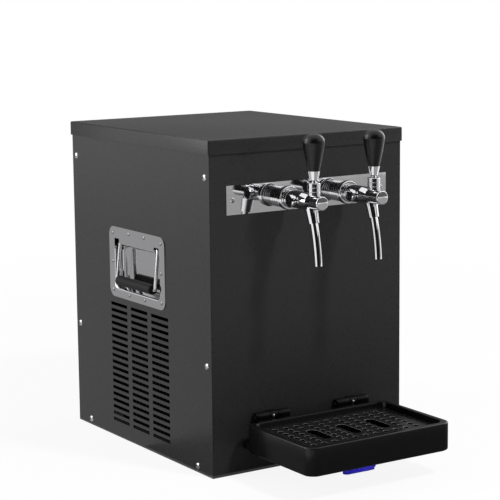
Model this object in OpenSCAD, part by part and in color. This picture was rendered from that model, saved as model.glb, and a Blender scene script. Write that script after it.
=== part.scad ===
// Two-tap beer cooler: a sheet steel cabinet with two compensator taps, a folding drip tray and
// recessed carry handles, with the cooling unit and the cold block inside.
// Millimetres, +Z up, front towards -Y, origin at the middle of the base on the floor.

/* [Cabinet] */
// Width across the side panels
cab_w = 346; // [330:1:420]
// Depth from the front panel's face to the back panel's
cab_d = 424; // [410:1:520]
// Height with the lid on
cab_h = 500; // [485:1:600]
// Thickness of the sheet steel
sheet_t = 1.2; // [0.8:0.1:1.6]
// Width of the flanges folded on the front and back panels
flange_w = 25; // [20:1:36]
// Height of the base pan's side lips
pan_lip = 27.5; // [20:0.5:40]
// Height of the lid's skirt
lid_skirt = 21.5; // [15:0.5:36]
// Gap between the lid's skirt and the panels
lid_gap = 1.3; // [0.5:0.1:3]
// Height of the shelf under the cold block
shelf_z = 226; // [224:0.5:230]

/* [Case screws] */
// Diameter of the dome heads
screw_head_d = 7.6; // [6:0.1:9]
// Height of the dome heads
screw_head_h = 2.4; // [1.5:0.1:3]
// Diameter of the screws
screw_d = 4; // [3:0.1:5]
// Length of the screws under the head
screw_len = 9; // [6:0.5:12]
// Distance of the side screws from the cabinet's front and back
side_screw_inset = 12.5; // [8:0.5:16]
// Drop of the upper side screws from the lid's top
side_screw_drop = 55; // [40:1:80]
// Height of the lower side screws
side_screw_z = 167; // [100:1:200]
// Distance of the base screws from the cabinet's front and back
base_screw_inset = 42.5; // [36:0.5:60]
// Height of the base screws
base_screw_z = 10; // [7:0.5:14]

/* [Louvres] */
// Columns of slots on each side
louvre_cols = 3; // [1:1:4]
// Rows of slots on each side
louvre_rows = 19; // [4:1:19]
// Length of a slot
louvre_len = 52; // [30:1:58]
// Height of a slot
louvre_h = 5.3; // [3:0.1:7]
// Spacing of the columns
louvre_col_pitch = 64; // [60:0.5:70]
// Spacing of the rows
louvre_row_pitch = 10.55; // [9:0.05:10.6]
// Height of the lowest slot's lower edge
louvre_z = 25; // [16:0.5:25]
// Distance of the field's middle behind the cabinet's middle
louvre_y = 1.3; // [-20:0.1:20]

/* [Carry handles] */
// Distance of the handle's middle behind the cabinet's middle
handle_y = 4; // [-30:0.5:30]
// Height of the plate's middle
handle_z = 286.8; // [284:0.1:310]
// Width of the plate
handle_plate_w = 173; // [170:1:190]
// Height of the plate
handle_plate_h = 112.5; // [110:0.5:124]
// Thickness of the plate
handle_t = 1.2; // [0.8:0.1:1.6]
// Corner radius of the plate
handle_corner_r = 14; // [6:0.5:20]
// Width of the dish's mouth
dish_w = 140; // [134:1:143]
// Height of the dish's mouth
dish_h = 70.5; // [66:0.5:72]
// Depth of the dish
dish_depth = 16; // [12:0.5:24]
// Draft of the dish's walls from mouth to floor
dish_draft = 3; // [1:0.5:6]
// Corner radius of the dish
dish_corner_r = 9; // [7:0.5:14]
// Distance between the bail's legs
bail_span = 119; // [110:1:122]
// Diameter of the bail's wire
wire_d = 5.5; // [4:0.1:6]
// Distance from the bail's pivot down to the grip
bail_drop = 61; // [50:1:63]
// How far the grip stands out from the pivot
bail_lean = 7; // [5:0.5:10]
// Diameter of the grip
grip_d = 15.5; // [12:0.5:18]
// Diameter of the pivot tubes behind the plate
pivot_tube_d = 9; // [8:0.1:9.6]
// Diameter of the rivets' shanks
rivet_d = 3.2; // [2.4:0.1:4]
// Diameter of the rivets' heads
rivet_head_d = 6; // [5:0.1:7]

/* [Tap plate] */
// Width of the polished plate
plate_w = 288.8; // [200:0.5:320]
// Height of the polished plate
plate_h = 43; // [38:0.5:60]
// Thickness of the polished plate
plate_t = 1; // [0.6:0.1:2]
// Distance of the plate's screws from its ends
plate_screw_inset = 10.4; // [7:0.1:16]

/* [Taps] */
// Distance between the two taps
tap_spacing = 106.8; // [90:0.2:140]
// Drop of the taps' axis from the lid's top
tap_drop = 89.5; // [75:0.5:100]
// Diameter of the shank's tail
shank_d = 22; // [18:0.5:24]
// Diameter of the way through the shank
shank_bore_d = 8; // [6:0.5:8.5]
// Length of the shank's tail behind the panel's face
shank_tail = 58; // [40:1:60]
// Diameter of the shank's threaded head
thread_d = 31; // [28:0.5:32]
// Pitch of the threaded head
thread_pitch = 5; // [3:0.1:6]
// Distance from the panel to the joint of shank and body
joint_f = 24; // [20:0.5:30]
// Diameter of the coupling nut
nut_d = 35; // [34:0.5:40]
// Length of the coupling nut
nut_len = 9; // [8:0.5:14]
// Diameter of the tap's body
body_d = 25.5; // [23:0.5:27]
// Diameter of the body's nose
nose_d = 20.4; // [19:0.2:22]
// Length of the body's nose in front of the lever
nose_len = 17; // [17:0.5:24]
// Thickness of the front cap
cap_t = 4; // [3:0.5:6]
// Diameter of the piston
piston_d = 12; // [10:0.2:12.4]
// Radial clearance of the piston, the stems and the hinge pins
run_gap = 0.08; // [0.03:0.01:0.1]

/* [Levers] */
// Distance from the panel to the lever
lever_f = 91; // [88:0.5:94]
// How far the lever tips each way, in degrees
lever_swing = 22; // [15:1:22]
// Height of the lever's pivot above the tap's axis
pivot_up = 20.5; // [19:0.5:22]
// Diameter of the lever's ball
ball_d = 12; // [10:0.2:12.6]
// Diameter of the collar
collar_d = 19; // [18.4:0.2:22]
// Height of the collar's top above the pivot
collar_above = 7.5; // [6:0.1:7.6]
// Diameter of the lever's neck
neck_d = 7; // [6.4:0.1:7.2]
// Diameter of the lever's stud inside the handle
stud_d = 6; // [4:0.2:6.4]
// Height of the ferrule's foot above the pivot
ferrule_above = 10.6; // [10.4:0.1:12]
// Height of the ferrule
ferrule_h = 14; // [10:0.5:18]
// Diameter of the ferrule's foot
ferrule_foot_d = 12.4; // [11:0.2:12.4]
// Diameter of the ferrule's top
ferrule_top_d = 17.8; // [15:0.2:19]
// Diameter of the handle's foot
knob_foot_d = 16.4; // [14:0.2:18]
// Largest diameter of the handle
knob_d = 32; // [24:0.5:36]
// Height of the handle
knob_h = 54; // [44:0.5:70]

/* [Flow control knobs] */
// Distance from the panel to the knob's axis
flow_f = 56; // [48:0.5:60]
// Diameter of the knob
flow_d = 19; // [16:0.5:22]
// Thickness of the knob
flow_t = 5.5; // [4:0.5:8]
// Diameter of the knob's stem
flow_stem_d = 7; // [5:0.2:8]

/* [Spouts] */
// Distance from the panel to where the spout's axis meets the tap's
spout_f = 81; // [80:0.5:83]
// Forward tilt of the spout at its root
spout_tilt = 17; // [12:0.5:20]
// Diameter of the spout
spout_d = 11.5; // [10:0.1:12]
// Wall of the spout
spout_wall = 1.3; // [0.8:0.1:2]
// Length of the spout's curve below the sleeve
spout_len = 61; // [40:1:80]
// How far the curve turns back towards upright
spout_bend = 14; // [8:0.5:16]
// Diameter of the sleeve at its top
sleeve_d = 19; // [18:0.2:21]
// Diameter of the sleeve at its foot
sleeve_foot_d = 16; // [15:0.2:18]
// Length of the sleeve
sleeve_len = 22; // [18:0.5:28]

/* [Drip tray] */
// Width of the tray
tray_w = 256; // [240:1:300]
// Depth of the tray from its rear wall to its front
tray_d = 167; // [155:0.5:190]
// Height of the tray
tray_h = 42.5; // [40:0.5:55]
// Height of the tray's rim
tray_z = 80.5; // [76:0.5:84]
// Gap between the cabinet and the tray's rear wall
tray_gap = 17.5; // [16.8:0.1:20]
// Width of the rim
tray_rim = 9; // [7:0.5:14]
// Width of the ledge under the grille
tray_ledge = 6; // [4:0.5:9]
// Thickness of the tray's floor
tray_floor = 5; // [3:0.5:8]
// Radius of the tray's front corners
tray_front_r = 19; // [12:0.5:24]
// Radius of the tray's rear corners
tray_rear_r = 18; // [8:0.5:22]
// Bevel of the tray's lower edge
tray_foot_bevel = 3; // [2:0.5:5]
// Bevel of the rim's outer edge
tray_lip_bevel = 1.5; // [1:0.5:4]
// Depth of the grille's top below the rim
grille_drop = 8.5; // [7:0.5:14]
// Thickness of the grille
grille_t = 2; // [1.5:0.1:3]
// Diameter of the grille's holes
grille_hole_d = 7.5; // [5:0.5:10]
// Spacing of the holes across the grille
grille_pitch_x = 18.5; // [14:0.5:20]
// Spacing of the holes along the grille
grille_pitch_y = 14; // [11:0.5:14]
// Holes across the grille
grille_nx = 11; // [5:2:11]
// Holes along the grille
grille_ny = 9; // [3:2:9]
// Length of the three drain slots
grille_slot_len = 53; // [40:1:60]
// Width of the three drain slots
grille_slot_w = 17; // [8:0.5:18]
// Spacing of the three drain slots
grille_slot_pitch = 53; // [45:0.5:56]

/* [Tray hinges] */
// Distance of each hinge's middle from the cabinet's middle
hinge_x = 73.5; // [60:0.5:80]
// Length of a hinge
hinge_len = 60; // [56:1:80]
// Diameter of the hinge's barrel
barrel_d = 13; // [12:0.1:13.4]
// Distance of the hinge's axis from the panel
hinge_out = 7; // [6.9:0.05:8]
// Height of the hinge's axis above the tray's rim
hinge_up = 3.5; // [2:0.5:4]
// Diameter of the hinge's stub pins
pin_d = 6; // [4:0.2:7]
// Width of the hinge's middle block
block_w = 14; // [12:0.5:18]
// Diameter of the hinge screw's head
hinge_head_d = 5; // [4:0.1:6]
// Diameter of the hinge screw's shank
hinge_screw_d = 3; // [2.5:0.1:3.5]
// How far a stub pin reaches into the block
pin_seat = 4; // [3:0.2:4]
// Distance of each bumper from the tray's side
bumper_inset = 14; // [10:0.5:30]
// Height of the bumpers
bumper_z = 44; // [44:0.5:60]
// Diameter of the bumpers
bumper_d = 13.5; // [10:0.5:15]

/* [Drain] */
// Distance of the drain in front of the tray's rear wall
drain_f = 108; // [70:1:110]
// Diameter of the drain's neck
drain_neck_d = 40; // [36:1:44]
// Diameter of the way through the neck
drain_bore_d = 30; // [20:1:32]
// Length of the neck below the tray
drain_neck_len = 13; // [12:0.5:22]
// Diameter of the drain cap
drain_cap_d = 50; // [49:1:60]
// Thickness of the cap's floor
drain_cap_floor = 4; // [3:0.5:5]
// Gap between the cap's rim and the tray
drain_cap_gap = 2.4; // [1:0.2:4]
// Length of the finger bar under the cap
drain_bar_len = 55; // [40:1:64]
// Width of the finger bar
drain_bar_w = 12; // [8:0.5:16]
// Height of the finger bar
drain_bar_h = 5.5; // [4:0.5:10]
// Thickness of the seal
drain_seal_t = 2; // [1.5:0.1:3]
// Ribs round the cap
drain_ribs = 28; // [16:1:36]

/* [Cooling unit] */
// Diameter of the compressor
comp_d = 146; // [120:1:150]
// Height of the compressor's shell
comp_h = 165; // [140:1:170]
// Height of the grommets under the compressor
grommet_h = 10; // [8:0.5:14]
// Width of the condenser along the cabinet's side
cond_w = 184; // [176:1:200]
// Height of the condenser
cond_h = 182; // [176:1:186]
// Thickness of the condenser
cond_t = 36; // [30:1:40]
// Fins on the condenser
cond_fins = 16; // [8:1:20]
// Diameter of the condenser's tubes
cond_tube_d = 8; // [6:0.5:10]
// Diameter of the fan
fan_d = 164; // [120:1:164]
// Depth of the fan's frame
fan_t = 24; // [20:1:28]
// Blades on the fan
fan_blades = 5; // [3:1:7]
// Diameter of the fan's motor
motor_d = 58; // [44:1:64]
// Length of the fan's motor
motor_len = 38; // [30:1:40]
// Diameter of the refrigerant lines
line_d = 8; // [6:0.5:9]

/* [Cold block] */
// Width of the cold block
block_x = 200; // [160:1:220]
// Depth of the cold block
block_y = 280; // [240:1:284]
// Height of the cold block above the beer lines
block_above = 18.7; // [12:0.1:20]
// Thickness of the insulation under the cold block
foam_floor = 38; // [30:1:40]
// Gap between the front and back panels and the insulation
foam_gap = 14; // [12:0.5:18]
// Thickness of the insulation's cover
foam_cover = 40; // [30:1:40]
// Height of the cover's plug inside the box
foam_plug = 12; // [8:0.5:13]
// Diameter of the beer lines
beer_line_d = 9.5; // [8:0.1:10]

/* [Rear fittings] */
// Diameter of the beer inlets' outer stubs
inlet_d = 22.9; // [18:0.1:26]
// Length of the beer inlets' outer stubs
inlet_len = 14; // [10:0.5:20]
// Diameter of the thermostat's knob
dial_d = 34; // [28:0.5:40]
// Thickness of the thermostat's knob
dial_t = 14; // [10:0.5:18]
// Distance of the thermostat from the cabinet's middle
dial_x = 95; // [80:1:110]
// Height of the thermostat
dial_z = 190; // [176:1:194]
// Distance of the mains inlet from the cabinet's middle
mains_x = 95; // [80:1:110]
// Height of the mains inlet
mains_z = 60; // [44:1:90]

/* [Hidden] */
$fn = 64;
// Cut overshoot
eps = 0.5;
// Gap between pieces that lie side by side
fit = 0.2;
// Clearance of screws, studs and tubes in their holes
hole_gap = 0.3;
// Gap between pieces that move past each other
move_gap = 0.4;
// Extra on the ball that closes a wire's corner
corner_extra = 0.1;
// Thickness of the two outlines that a dish is drawn between
skin = 0.01;

half_w = cab_w / 2;
half_d = cab_d / 2;
panel_h = cab_h - sheet_t;
inner_x = half_w - sheet_t - fit;
tap_x = tap_spacing / 2;
tap_z = cab_h - tap_drop;

// Carry handles, in the plate's own frame: X along the cabinet, Y up, Z outwards
dish_y = -6.05;
pivot_over = 4;
pivot_y = dish_y + dish_h / 2 + pivot_over;
pivot_out = -4;
grip_y = pivot_y - bail_drop;
grip_out = pivot_out + bail_lean;
grip_inset = 7;
grip_len = bail_span - 2 * grip_inset;
bail_slot_gap = 2.25;
bail_slot_w = wire_d + 2 * bail_slot_gap;
bail_slot_under = 10;
bail_slot_over = 2;
bail_slot_back = 1;
ear_inset = 0.6;
pivot_tube_len = 12;
rivet_rim_y = 7.6;
rivet_corner_y = 10.6;
rivet_rim_x = 11;
rivet_mid_x = 24;
rivet_head_h = 1.4;
rivet_tail = 1;

// Taps, in the tap's own frame: X across, Y up, Z forwards from the panel's face
head_end = joint_f - fit;
nut_over = 7;
flange_t = 3;
nut_start = joint_f + nut_over - nut_len;
flange_f = joint_f + flange_t;
thread_depth = 1.8;
body_start = joint_f;
body_f = lever_f + nose_len;
lock_nut_t = 8;
lock_nut_d = 1.55 * shank_d;
line_seat = 12;
beer_line_wall = 1;
beer_line_bore_d = beer_line_d - 2 * beer_line_wall;
taper_lead = 12;
taper_start = flow_f + taper_lead;
taper_tail = 9;
taper_end = lever_f - taper_tail;
bore_lead = 9;
bore_start = body_start + bore_lead;
bore_d = piston_d + 2 * run_gap;
piston_lead = 8;
piston_start = bore_start + piston_lead;
piston_nose = 7;
piston_end = lever_f + piston_nose;
finger_tip_d = 4;
finger_d = 3.2;
groove_w = finger_tip_d + 2 * move_gap;
groove_d = 5;
finger_gap = 0.3;
finger_len = pivot_up - groove_d / 2 - finger_tip_d / 2 - finger_gap;
collar_sink = 0.7;
collar_seat = nose_d / 2 - collar_sink;
collar_low = collar_seat - pivot_up;
socket_d = ball_d + 2 * move_gap;
mouth_d = swing_room(collar_above, neck_d);
foot_room_d = max(socket_d, swing_room(-collar_low, finger_d));
finger_room = swing_room(pivot_up - bore_d / 2, finger_d);
neck_seat = 4;
knob_z = ferrule_above + ferrule_h;
stud_seat = 20;
stud_top = knob_z + stud_seat;
flow_boss_wall = 4;
flow_boss_h = 1.2;
flow_face = body_d / 2 + flow_boss_h;
cap_seat = 3;
spout_root = 10.5;
sleeve_end = spout_root + sleeve_len;
sleeve_seat = 9.9;
boss_step = 0.5;
boss_d = sleeve_foot_d - 2 * boss_step;
boss_len = 18;
spout_r = spout_len / (spout_bend * PI / 180);
spout_bore_d = spout_d - 2 * spout_wall;

// Drip tray
tray_rear = -half_d - tray_gap;
tray_front = tray_rear - tray_d;
tray_low = tray_z - tray_h;
grille_top = tray_z - grille_drop;
grille_low = grille_top - grille_t;
basin_x = tray_w / 2 - tray_rim;
basin_rear = tray_rear - tray_rim;
basin_front = tray_front + tray_rim;
tray_mid = (tray_rear + tray_front) / 2;
hinge_y = -half_d - hinge_out;
hinge_z = tray_z + hinge_up;
arm_h = 9;
arm_drop = 0.3;
block_front = hinge_out + barrel_d / 2;
hinge_screw_sink = 1;
hinge_screw_f = block_front - hinge_screw_sink;
hinge_head_h = hinge_head_d * screw_head_h / screw_head_d;
bumper_gap = 0.3;
bumper_x = tray_w / 2 - bumper_inset;
bumper_stud = 6;
drain_y = tray_rear - drain_f;
neck_low = tray_low - drain_neck_len;
seal_top = neck_low - fit;
seal_low = seal_top - drain_seal_t;
cap_floor_top = seal_low - fit;
cap_low = cap_floor_top - drain_cap_floor;
cap_h = tray_low - drain_cap_gap - cap_low;
rib_h = 1.2;
cap_thread_gap = 0.5;
cap_bore_d = drain_neck_d + 2 * cap_thread_gap;

// Cooling unit
pan_top = sheet_t;
comp_side_gap = 24;
comp_back_gap = 42;
comp_x = half_w - comp_side_gap - comp_d / 2;
comp_y = half_d - comp_back_gap - comp_d / 2;
comp_plate_t = 3;
comp_foot_inset = 8;
comp_foot = comp_d / 2 - comp_foot_inset;
comp_plate_edge = 4;
comp_plate_r = 10;
grommet_d = 22;
grommet_stem_d = 9;
grommet_stem_h = 2;
comp_low = pan_top + grommet_h + comp_plate_t;
cond_side_gap = 18;
cond_foot = 4;
cond_x = -half_w + cond_side_gap;
cond_low = pan_top + cond_foot;
cond_plate_t = 2;
cond_fin_t = 0.8;
cond_rows = 6;
cond_tail = 6;
fan_gap = 2;
fan_tip_gap = 2;
fan_x = cond_x + cond_t + fan_gap;
fan_z = cond_low + cond_h / 2;
fan_hub_d = 44;
fan_shaft_d = 6;
motor_x = fan_x + fan_t;
blade_t = 2;
blade_pitch = 32;
blade_w = 60;
blade_root = 3;
frame_ring_t = 2;
fan_ring_d = fan_d + 2 * fan_tip_gap;
arm_w = 8;
arm_over = 4;
line_turn = 16;

// Cold block and insulation
foam_low = shelf_z + sheet_t;
foam_clear = 10;
foam_x = half_w - dish_depth - handle_t - foam_clear;
foam_y = half_d - foam_gap;
cold_low = foam_low + foam_floor;
cold_top = tap_z + block_above;
cover_low = cold_top + foam_plug;
foam_top = cover_low + foam_cover;
// Where the suction and liquid lines come up through the shelf
suction_foot = [60, -40];
liquid_foot = [-30, -40];

// Rear fittings
inlet_flange_edge = 4;
inlet_flange_d = inlet_d + 2 * inlet_flange_edge;
inlet_flange_t = 3;
inlet_nut_t = 6;
inlet_neck_d = 16;
inlet_line_seat = 4;
dial_shaft_d = 6;
stat_w = 42;
stat_h = 34;
stat_t = 30;
stat_bore = 12;
mains_flange_w = 50;
mains_flange_h = 24;
mains_flange_r = 5;
mains_body_w = 30;
mains_body_h = 21;
mains_depth = 17;
mains_wall = 2.6;
mains_screw_x = 20;
mains_flange_t = 2.5;
mains_pin_pitch = 7;
mains_pin_w = 2;
mains_pin_h = 4;
mains_pin_back = 5;
mains_pin_up = 2.5;
mains_pin_down = 1;

// Width that a rod of diameter d needs, at distance h from the lever's pivot, over its swing
function swing_room(h, d) = 2 * (h * tan(lever_swing) + d / 2 / cos(lever_swing) + move_gap);

// Shared shapes

module box(low, high) {
    translate(low) cube(high - low);
}

module rounded_rect(w, h, r) {
    square([w - 2 * r, h], center = true);
    square([w, h - 2 * r], center = true);
    for (sx = [-1, 1], sy = [-1, 1])
        translate([sx * (w / 2 - r), sy * (h / 2 - r)]) circle(r);
}

module slot_shape(len, w) {
    square([w, len - w], center = true);
    for (s = [-1, 1]) translate([0, s * (len - w) / 2]) circle(d = w);
}

module rod(from, to, d) {
    v = to - from;
    translate(from)
        rotate([0, acos(v[2] / norm(v)), atan2(v[1], v[0])])
            cylinder(d = d, h = norm(v));
}

// A tube's run through a list of points, with a ball closing each corner
module run(points, d) {
    for (i = [0 : len(points) - 2]) rod(points[i], points[i + 1], d);
    for (i = [1 : 1 : len(points) - 2]) translate(points[i]) sphere(d = d + corner_extra);
}

// A dome on a disc, standing on Z = 0
module dome(d, h) {
    steps = 6;
    rotate_extrude()
        polygon(concat([[0, 0]], [for (i = [0 : steps]) [d / 2 * cos(90 * i / steps),
                                                         h * sin(90 * i / steps)]]));
}

// A dome-head screw whose head sits on Z = 0 and whose shank points to -Z
module screw() {
    dome(screw_head_d, screw_head_h);
    translate([0, 0, -screw_len]) cylinder(d = screw_d, h = screw_len + eps);
}

module screw_hole(d = screw_d + hole_gap) {
    translate([0, 0, -screw_len - eps]) cylinder(d = d, h = screw_len + 2 * eps);
}

// The left side as it is built, or its mirror image on the right
module on_side(s) {
    mirror([s > 0 ? 1 : 0, 0, 0]) children();
}

// A frame on the left panel's face: X towards the front, Y up, Z outwards
module left_face(y, z) {
    translate([-half_w, y, z]) rotate([90, 0, -90]) children();
}

// A frame on the front panel's face: X to the right, Y up, Z forwards
module front_face(x, z) {
    translate([x, -half_d, z]) rotate([90, 0, 0]) children();
}

// A frame on the back panel's face: X to the left of the front view, Y up, Z backwards
module back_face(x, z) {
    translate([x, half_d, z]) rotate([90, 0, 180]) children();
}

module both_taps() {
    for (s = [-1, 1]) front_face(s * tap_x, tap_z) children();
}

// Cabinet

module each_side_screw() {
    for (e = [-1, 1]) {
        for (z = [side_screw_z, cab_h - side_screw_drop])
            left_face(e * (half_d - side_screw_inset), z) children();
        left_face(e * (half_d - base_screw_inset), base_screw_z) children();
    }
}

module base_pan() color("#2a2a2b") {
    lip_y = half_d - flange_w - 2;
    pan_y = half_d - sheet_t - fit;
    difference() {
        union() {
            box([-inner_x, -pan_y, 0], [inner_x, pan_y, sheet_t]);
            for (s = [-1, 1]) on_side(s)
                box([-inner_x, -lip_y, 0], [-inner_x + sheet_t, lip_y, pan_lip]);
        }
        for (s = [-1, 1]) on_side(s) each_side_screw() screw_hole();
    }
}

// A front or back panel, built as the front one, with a flange down each side
module panel_sheet() {
    box([-inner_x, -half_d, 0], [inner_x, -half_d + sheet_t, panel_h]);
    for (s = [-1, 1]) on_side(s)
        box([-inner_x, -half_d, sheet_t + fit],
            [-inner_x + sheet_t, -half_d + flange_w, panel_h]);
}

module front_panel() color("#2b2b2c")
    difference() {
        panel_sheet();
        for (s = [-1, 1]) {
            on_side(s) each_side_screw() screw_hole();
            front_face(s * hinge_x, hinge_z) screw_hole(hinge_screw_d + hole_gap);
            front_face(s * bumper_x, bumper_z) screw_hole();
            front_face(s * (plate_w / 2 - plate_screw_inset), tap_z) screw_hole();
        }
        both_taps() translate([0, 0, -sheet_t - eps])
            cylinder(d = shank_d + hole_gap, h = sheet_t + 2 * eps);
    }

module back_panel() color("#2b2b2c")
    difference() {
        mirror([0, 1, 0]) panel_sheet();
        for (s = [-1, 1]) {
            on_side(s) each_side_screw() screw_hole();
            back_face(s * tap_x, tap_z) screw_hole(inlet_neck_d + hole_gap);
            back_face(mains_x + s * mains_screw_x, mains_z) screw_hole();
        }
        back_face(-dial_x, dial_z) screw_hole(dial_shaft_d + 2);
        back_face(mains_x, mains_z)
            translate([0, 0, -sheet_t]) linear_extrude(3 * sheet_t, center = true)
                square([mains_body_w + hole_gap, mains_body_h + hole_gap], center = true);
    }

module side_panel() {
    cut_low = dish_y - dish_h / 2 - handle_t - fit;
    cut_high = pivot_y + pivot_tube_d / 2 + fit;
    cut_x = dish_w / 2 + handle_t + fit;
    difference() {
        box([-half_w, -half_d, 0], [-half_w + sheet_t, half_d, panel_h]);
        each_side_screw() screw_hole();
        left_face(handle_y, handle_z) {
            box([-cut_x, cut_low, -sheet_t - eps], [cut_x, cut_high, eps]);
            each_rivet() screw_hole(rivet_d + fit);
        }
        for (c = [0 : louvre_cols - 1], r = [0 : louvre_rows - 1])
            left_face(louvre_y + (c - (louvre_cols - 1) / 2) * louvre_col_pitch,
                      louvre_z + r * louvre_row_pitch)
                box([-louvre_len / 2, 0, -sheet_t - eps], [louvre_len / 2, louvre_h, eps]);
    }
}

module left_side_panel() color("#444445") on_side(-1) side_panel();

module right_side_panel() color("#444445") on_side(1) side_panel();

module lid() color("#565657") {
    out_x = half_w + lid_gap + sheet_t;
    out_y = half_d + lid_gap + sheet_t;
    difference() {
        box([-out_x, -out_y, cab_h - lid_skirt], [out_x, out_y, cab_h]);
        box([sheet_t - out_x, sheet_t - out_y, cab_h - lid_skirt - eps],
            [out_x - sheet_t, out_y - sheet_t, panel_h]);
    }
}

// The shelf has a lip turned down along its front and back edges
module mid_shelf() color("#8a8a8c") {
    shelf_x = inner_x - sheet_t - fit;
    shelf_y = half_d - sheet_t - fit;
    lip_h = 12;
    difference() {
        union() {
            box([-shelf_x, -shelf_y, shelf_z], [shelf_x, shelf_y, shelf_z + sheet_t]);
            for (e = [-1, 1]) mirror([0, e > 0 ? 1 : 0, 0])
                box([-shelf_x, -shelf_y, shelf_z - lip_h],
                    [shelf_x, sheet_t - shelf_y, shelf_z]);
        }
        for (p = [suction_foot, liquid_foot])
            translate([p[0], p[1], shelf_z - eps])
                cylinder(d = line_d + 2 * hole_gap, h = sheet_t + 2 * eps);
    }
}

module case_screws() color("#d8d8d8")
    for (s = [-1, 1]) {
        on_side(s) each_side_screw() screw();
        front_face(s * (plate_w / 2 - plate_screw_inset), tap_z) translate([0, 0, plate_t]) screw();
        front_face(s * hinge_x, hinge_z) {
            translate([0, 0, hinge_screw_f]) dome(hinge_head_d, hinge_head_h);
            translate([0, 0, -3 * sheet_t])
                cylinder(d = hinge_screw_d, h = hinge_screw_f + 3 * sheet_t + eps);
        }
    }

// Carry handles

module each_rivet() {
    rim_y = handle_plate_h / 2 - rivet_rim_y;
    corner_y = handle_plate_h / 2 - rivet_corner_y;
    rim_x = handle_plate_w / 2 - rivet_rim_x;
    for (sx = [-1, 1]) {
        for (p = [[rivet_mid_x, rim_y], [rim_x, corner_y]], sy = [-1, 1])
            translate([sx * p.x, sy * p.y, 0]) children();
        translate([sx * rim_x, 0, 0]) children();
    }
}

// The dish's space, grown by the given wall, from the plate's face to the given floor
module dish_form(wall, high, low) {
    w = dish_w + 2 * wall;
    h = dish_h + 2 * wall;
    r = dish_corner_r + wall;
    hull() {
        translate([0, dish_y, high]) linear_extrude(skin) rounded_rect(w, h, r, $fn = 32);
        translate([0, dish_y, low]) linear_extrude(skin)
            rounded_rect(w - 2 * dish_draft, h - 2 * dish_draft, r - dish_draft / 2, $fn = 32);
    }
}

module each_pivot_tube() {
    start = bail_span / 2 - bail_slot_w / 2 - fit;
    for (sx = [-1, 1])
        translate([sx * (start - pivot_tube_len / 2), pivot_y, pivot_out]) rotate([0, 90, 0]) children();
}

module handle_plate() {
    slot_low = pivot_y - bail_slot_under;
    slot_high = pivot_y + wire_d / 2 + bail_slot_over;
    slot_in = pivot_out - wire_d / 2 - bail_slot_back;
    left_face(handle_y, handle_z)
        difference() {
            union() {
                linear_extrude(handle_t)
                    rounded_rect(handle_plate_w, handle_plate_h, handle_corner_r);
                dish_form(handle_t, 0, -dish_depth);
                each_pivot_tube() cylinder(d = pivot_tube_d, h = pivot_tube_len, center = true);
            }
            dish_form(0, handle_t + eps, handle_t - dish_depth);
            for (sx = [0, 1]) mirror([sx, 0, 0])
                box([(bail_span - bail_slot_w) / 2, slot_low, slot_in],
                    [dish_w / 2 - ear_inset, slot_high, handle_t + eps]);
            each_rivet() translate([0, 0, handle_t]) screw_hole(rivet_d + fit);
            each_pivot_tube()
                cylinder(d = wire_d + 2 * run_gap, h = pivot_tube_len + 2 * eps, center = true);
        }
}

module left_handle_plate() color("#8f8f90") on_side(-1) handle_plate();

module right_handle_plate() color("#8f8f90") on_side(1) handle_plate();

// A bent wire: two legs from the pivots down to the grip
module handle_bail() {
    pin_end = bail_span / 2 - bail_slot_w / 2 - fit - pivot_tube_len + 1;
    top = [bail_span / 2, pivot_y, pivot_out];
    foot = [bail_span / 2, grip_y, grip_out];
    left_face(handle_y, handle_z)
        for (sx = [-1, 1]) mirror([sx > 0 ? 0 : 1, 0, 0]) {
            rod(top, foot, wire_d);
            rod([pin_end, pivot_y, pivot_out], top, wire_d);
            rod([0, grip_y, grip_out], foot, wire_d);
            for (p = [top, foot]) translate(p) sphere(d = wire_d + corner_extra);
        }
}

module left_handle_bail() color("#c9c9ca") on_side(-1) handle_bail();

module right_handle_bail() color("#c9c9ca") on_side(1) handle_bail();

// A sleeve on the wire, between the wire's two lower bends
module handle_grip() {
    bore = wire_d + 2 * fit;
    left_face(handle_y, handle_z) translate([0, grip_y, grip_out]) rotate([0, 90, 0])
        difference() {
            cylinder(d = grip_d, h = grip_len, center = true);
            cylinder(d = bore, h = grip_len + 2 * eps, center = true);
        }
}

module left_handle_grip() color("#232324") on_side(-1) handle_grip();

module right_handle_grip() color("#232324") on_side(1) handle_grip();

module handle_rivets() color("#b5b5b6")
    for (s = [-1, 1]) on_side(s) left_face(handle_y, handle_z) each_rivet() {
        translate([0, 0, handle_t]) dome(rivet_head_d, rivet_head_h);
        translate([0, 0, -sheet_t - rivet_tail])
            cylinder(d = rivet_d, h = rivet_tail + sheet_t + handle_t + eps);
    }

// Taps

module tap_plate() color("#b9b9bb")
    difference() {
        front_face(0, tap_z) linear_extrude(plate_t) square([plate_w, plate_h], center = true);
        for (s = [-1, 1])
            front_face(s * (plate_w / 2 - plate_screw_inset), tap_z)
                translate([0, 0, plate_t]) screw_hole();
        both_taps() translate([0, 0, -eps])
            cylinder(d = shank_d + hole_gap, h = plate_t + 2 * eps);
    }

module shank() {
    turns = floor((head_end - plate_t) / thread_pitch);
    crest = thread_d / 2;
    root = crest - thread_depth;
    difference() {
        union() {
            translate([0, 0, -shank_tail]) cylinder(d = shank_d, h = shank_tail + plate_t + eps);
            rotate_extrude()
                polygon(concat([[0, plate_t]],
                    [for (i = [0 : turns - 1]) each [
                        [crest, plate_t + thread_pitch * i],
                        [crest, plate_t + thread_pitch * (i + 0.45)],
                        [root, plate_t + thread_pitch * (i + 0.7)],
                        [root, plate_t + thread_pitch * (i + 0.8)]]],
                    [[crest, plate_t + thread_pitch * turns], [crest, head_end], [0, head_end]]));
        }
        translate([0, 0, -shank_tail - eps])
            cylinder(d = shank_bore_d, h = shank_tail + head_end + 2 * eps);
        translate([0, 0, -shank_tail - eps])
            cylinder(d = beer_line_d + fit, h = line_seat + eps);
    }
}

module tap_shanks() color("#c4c4c6") both_taps() shank();

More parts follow.
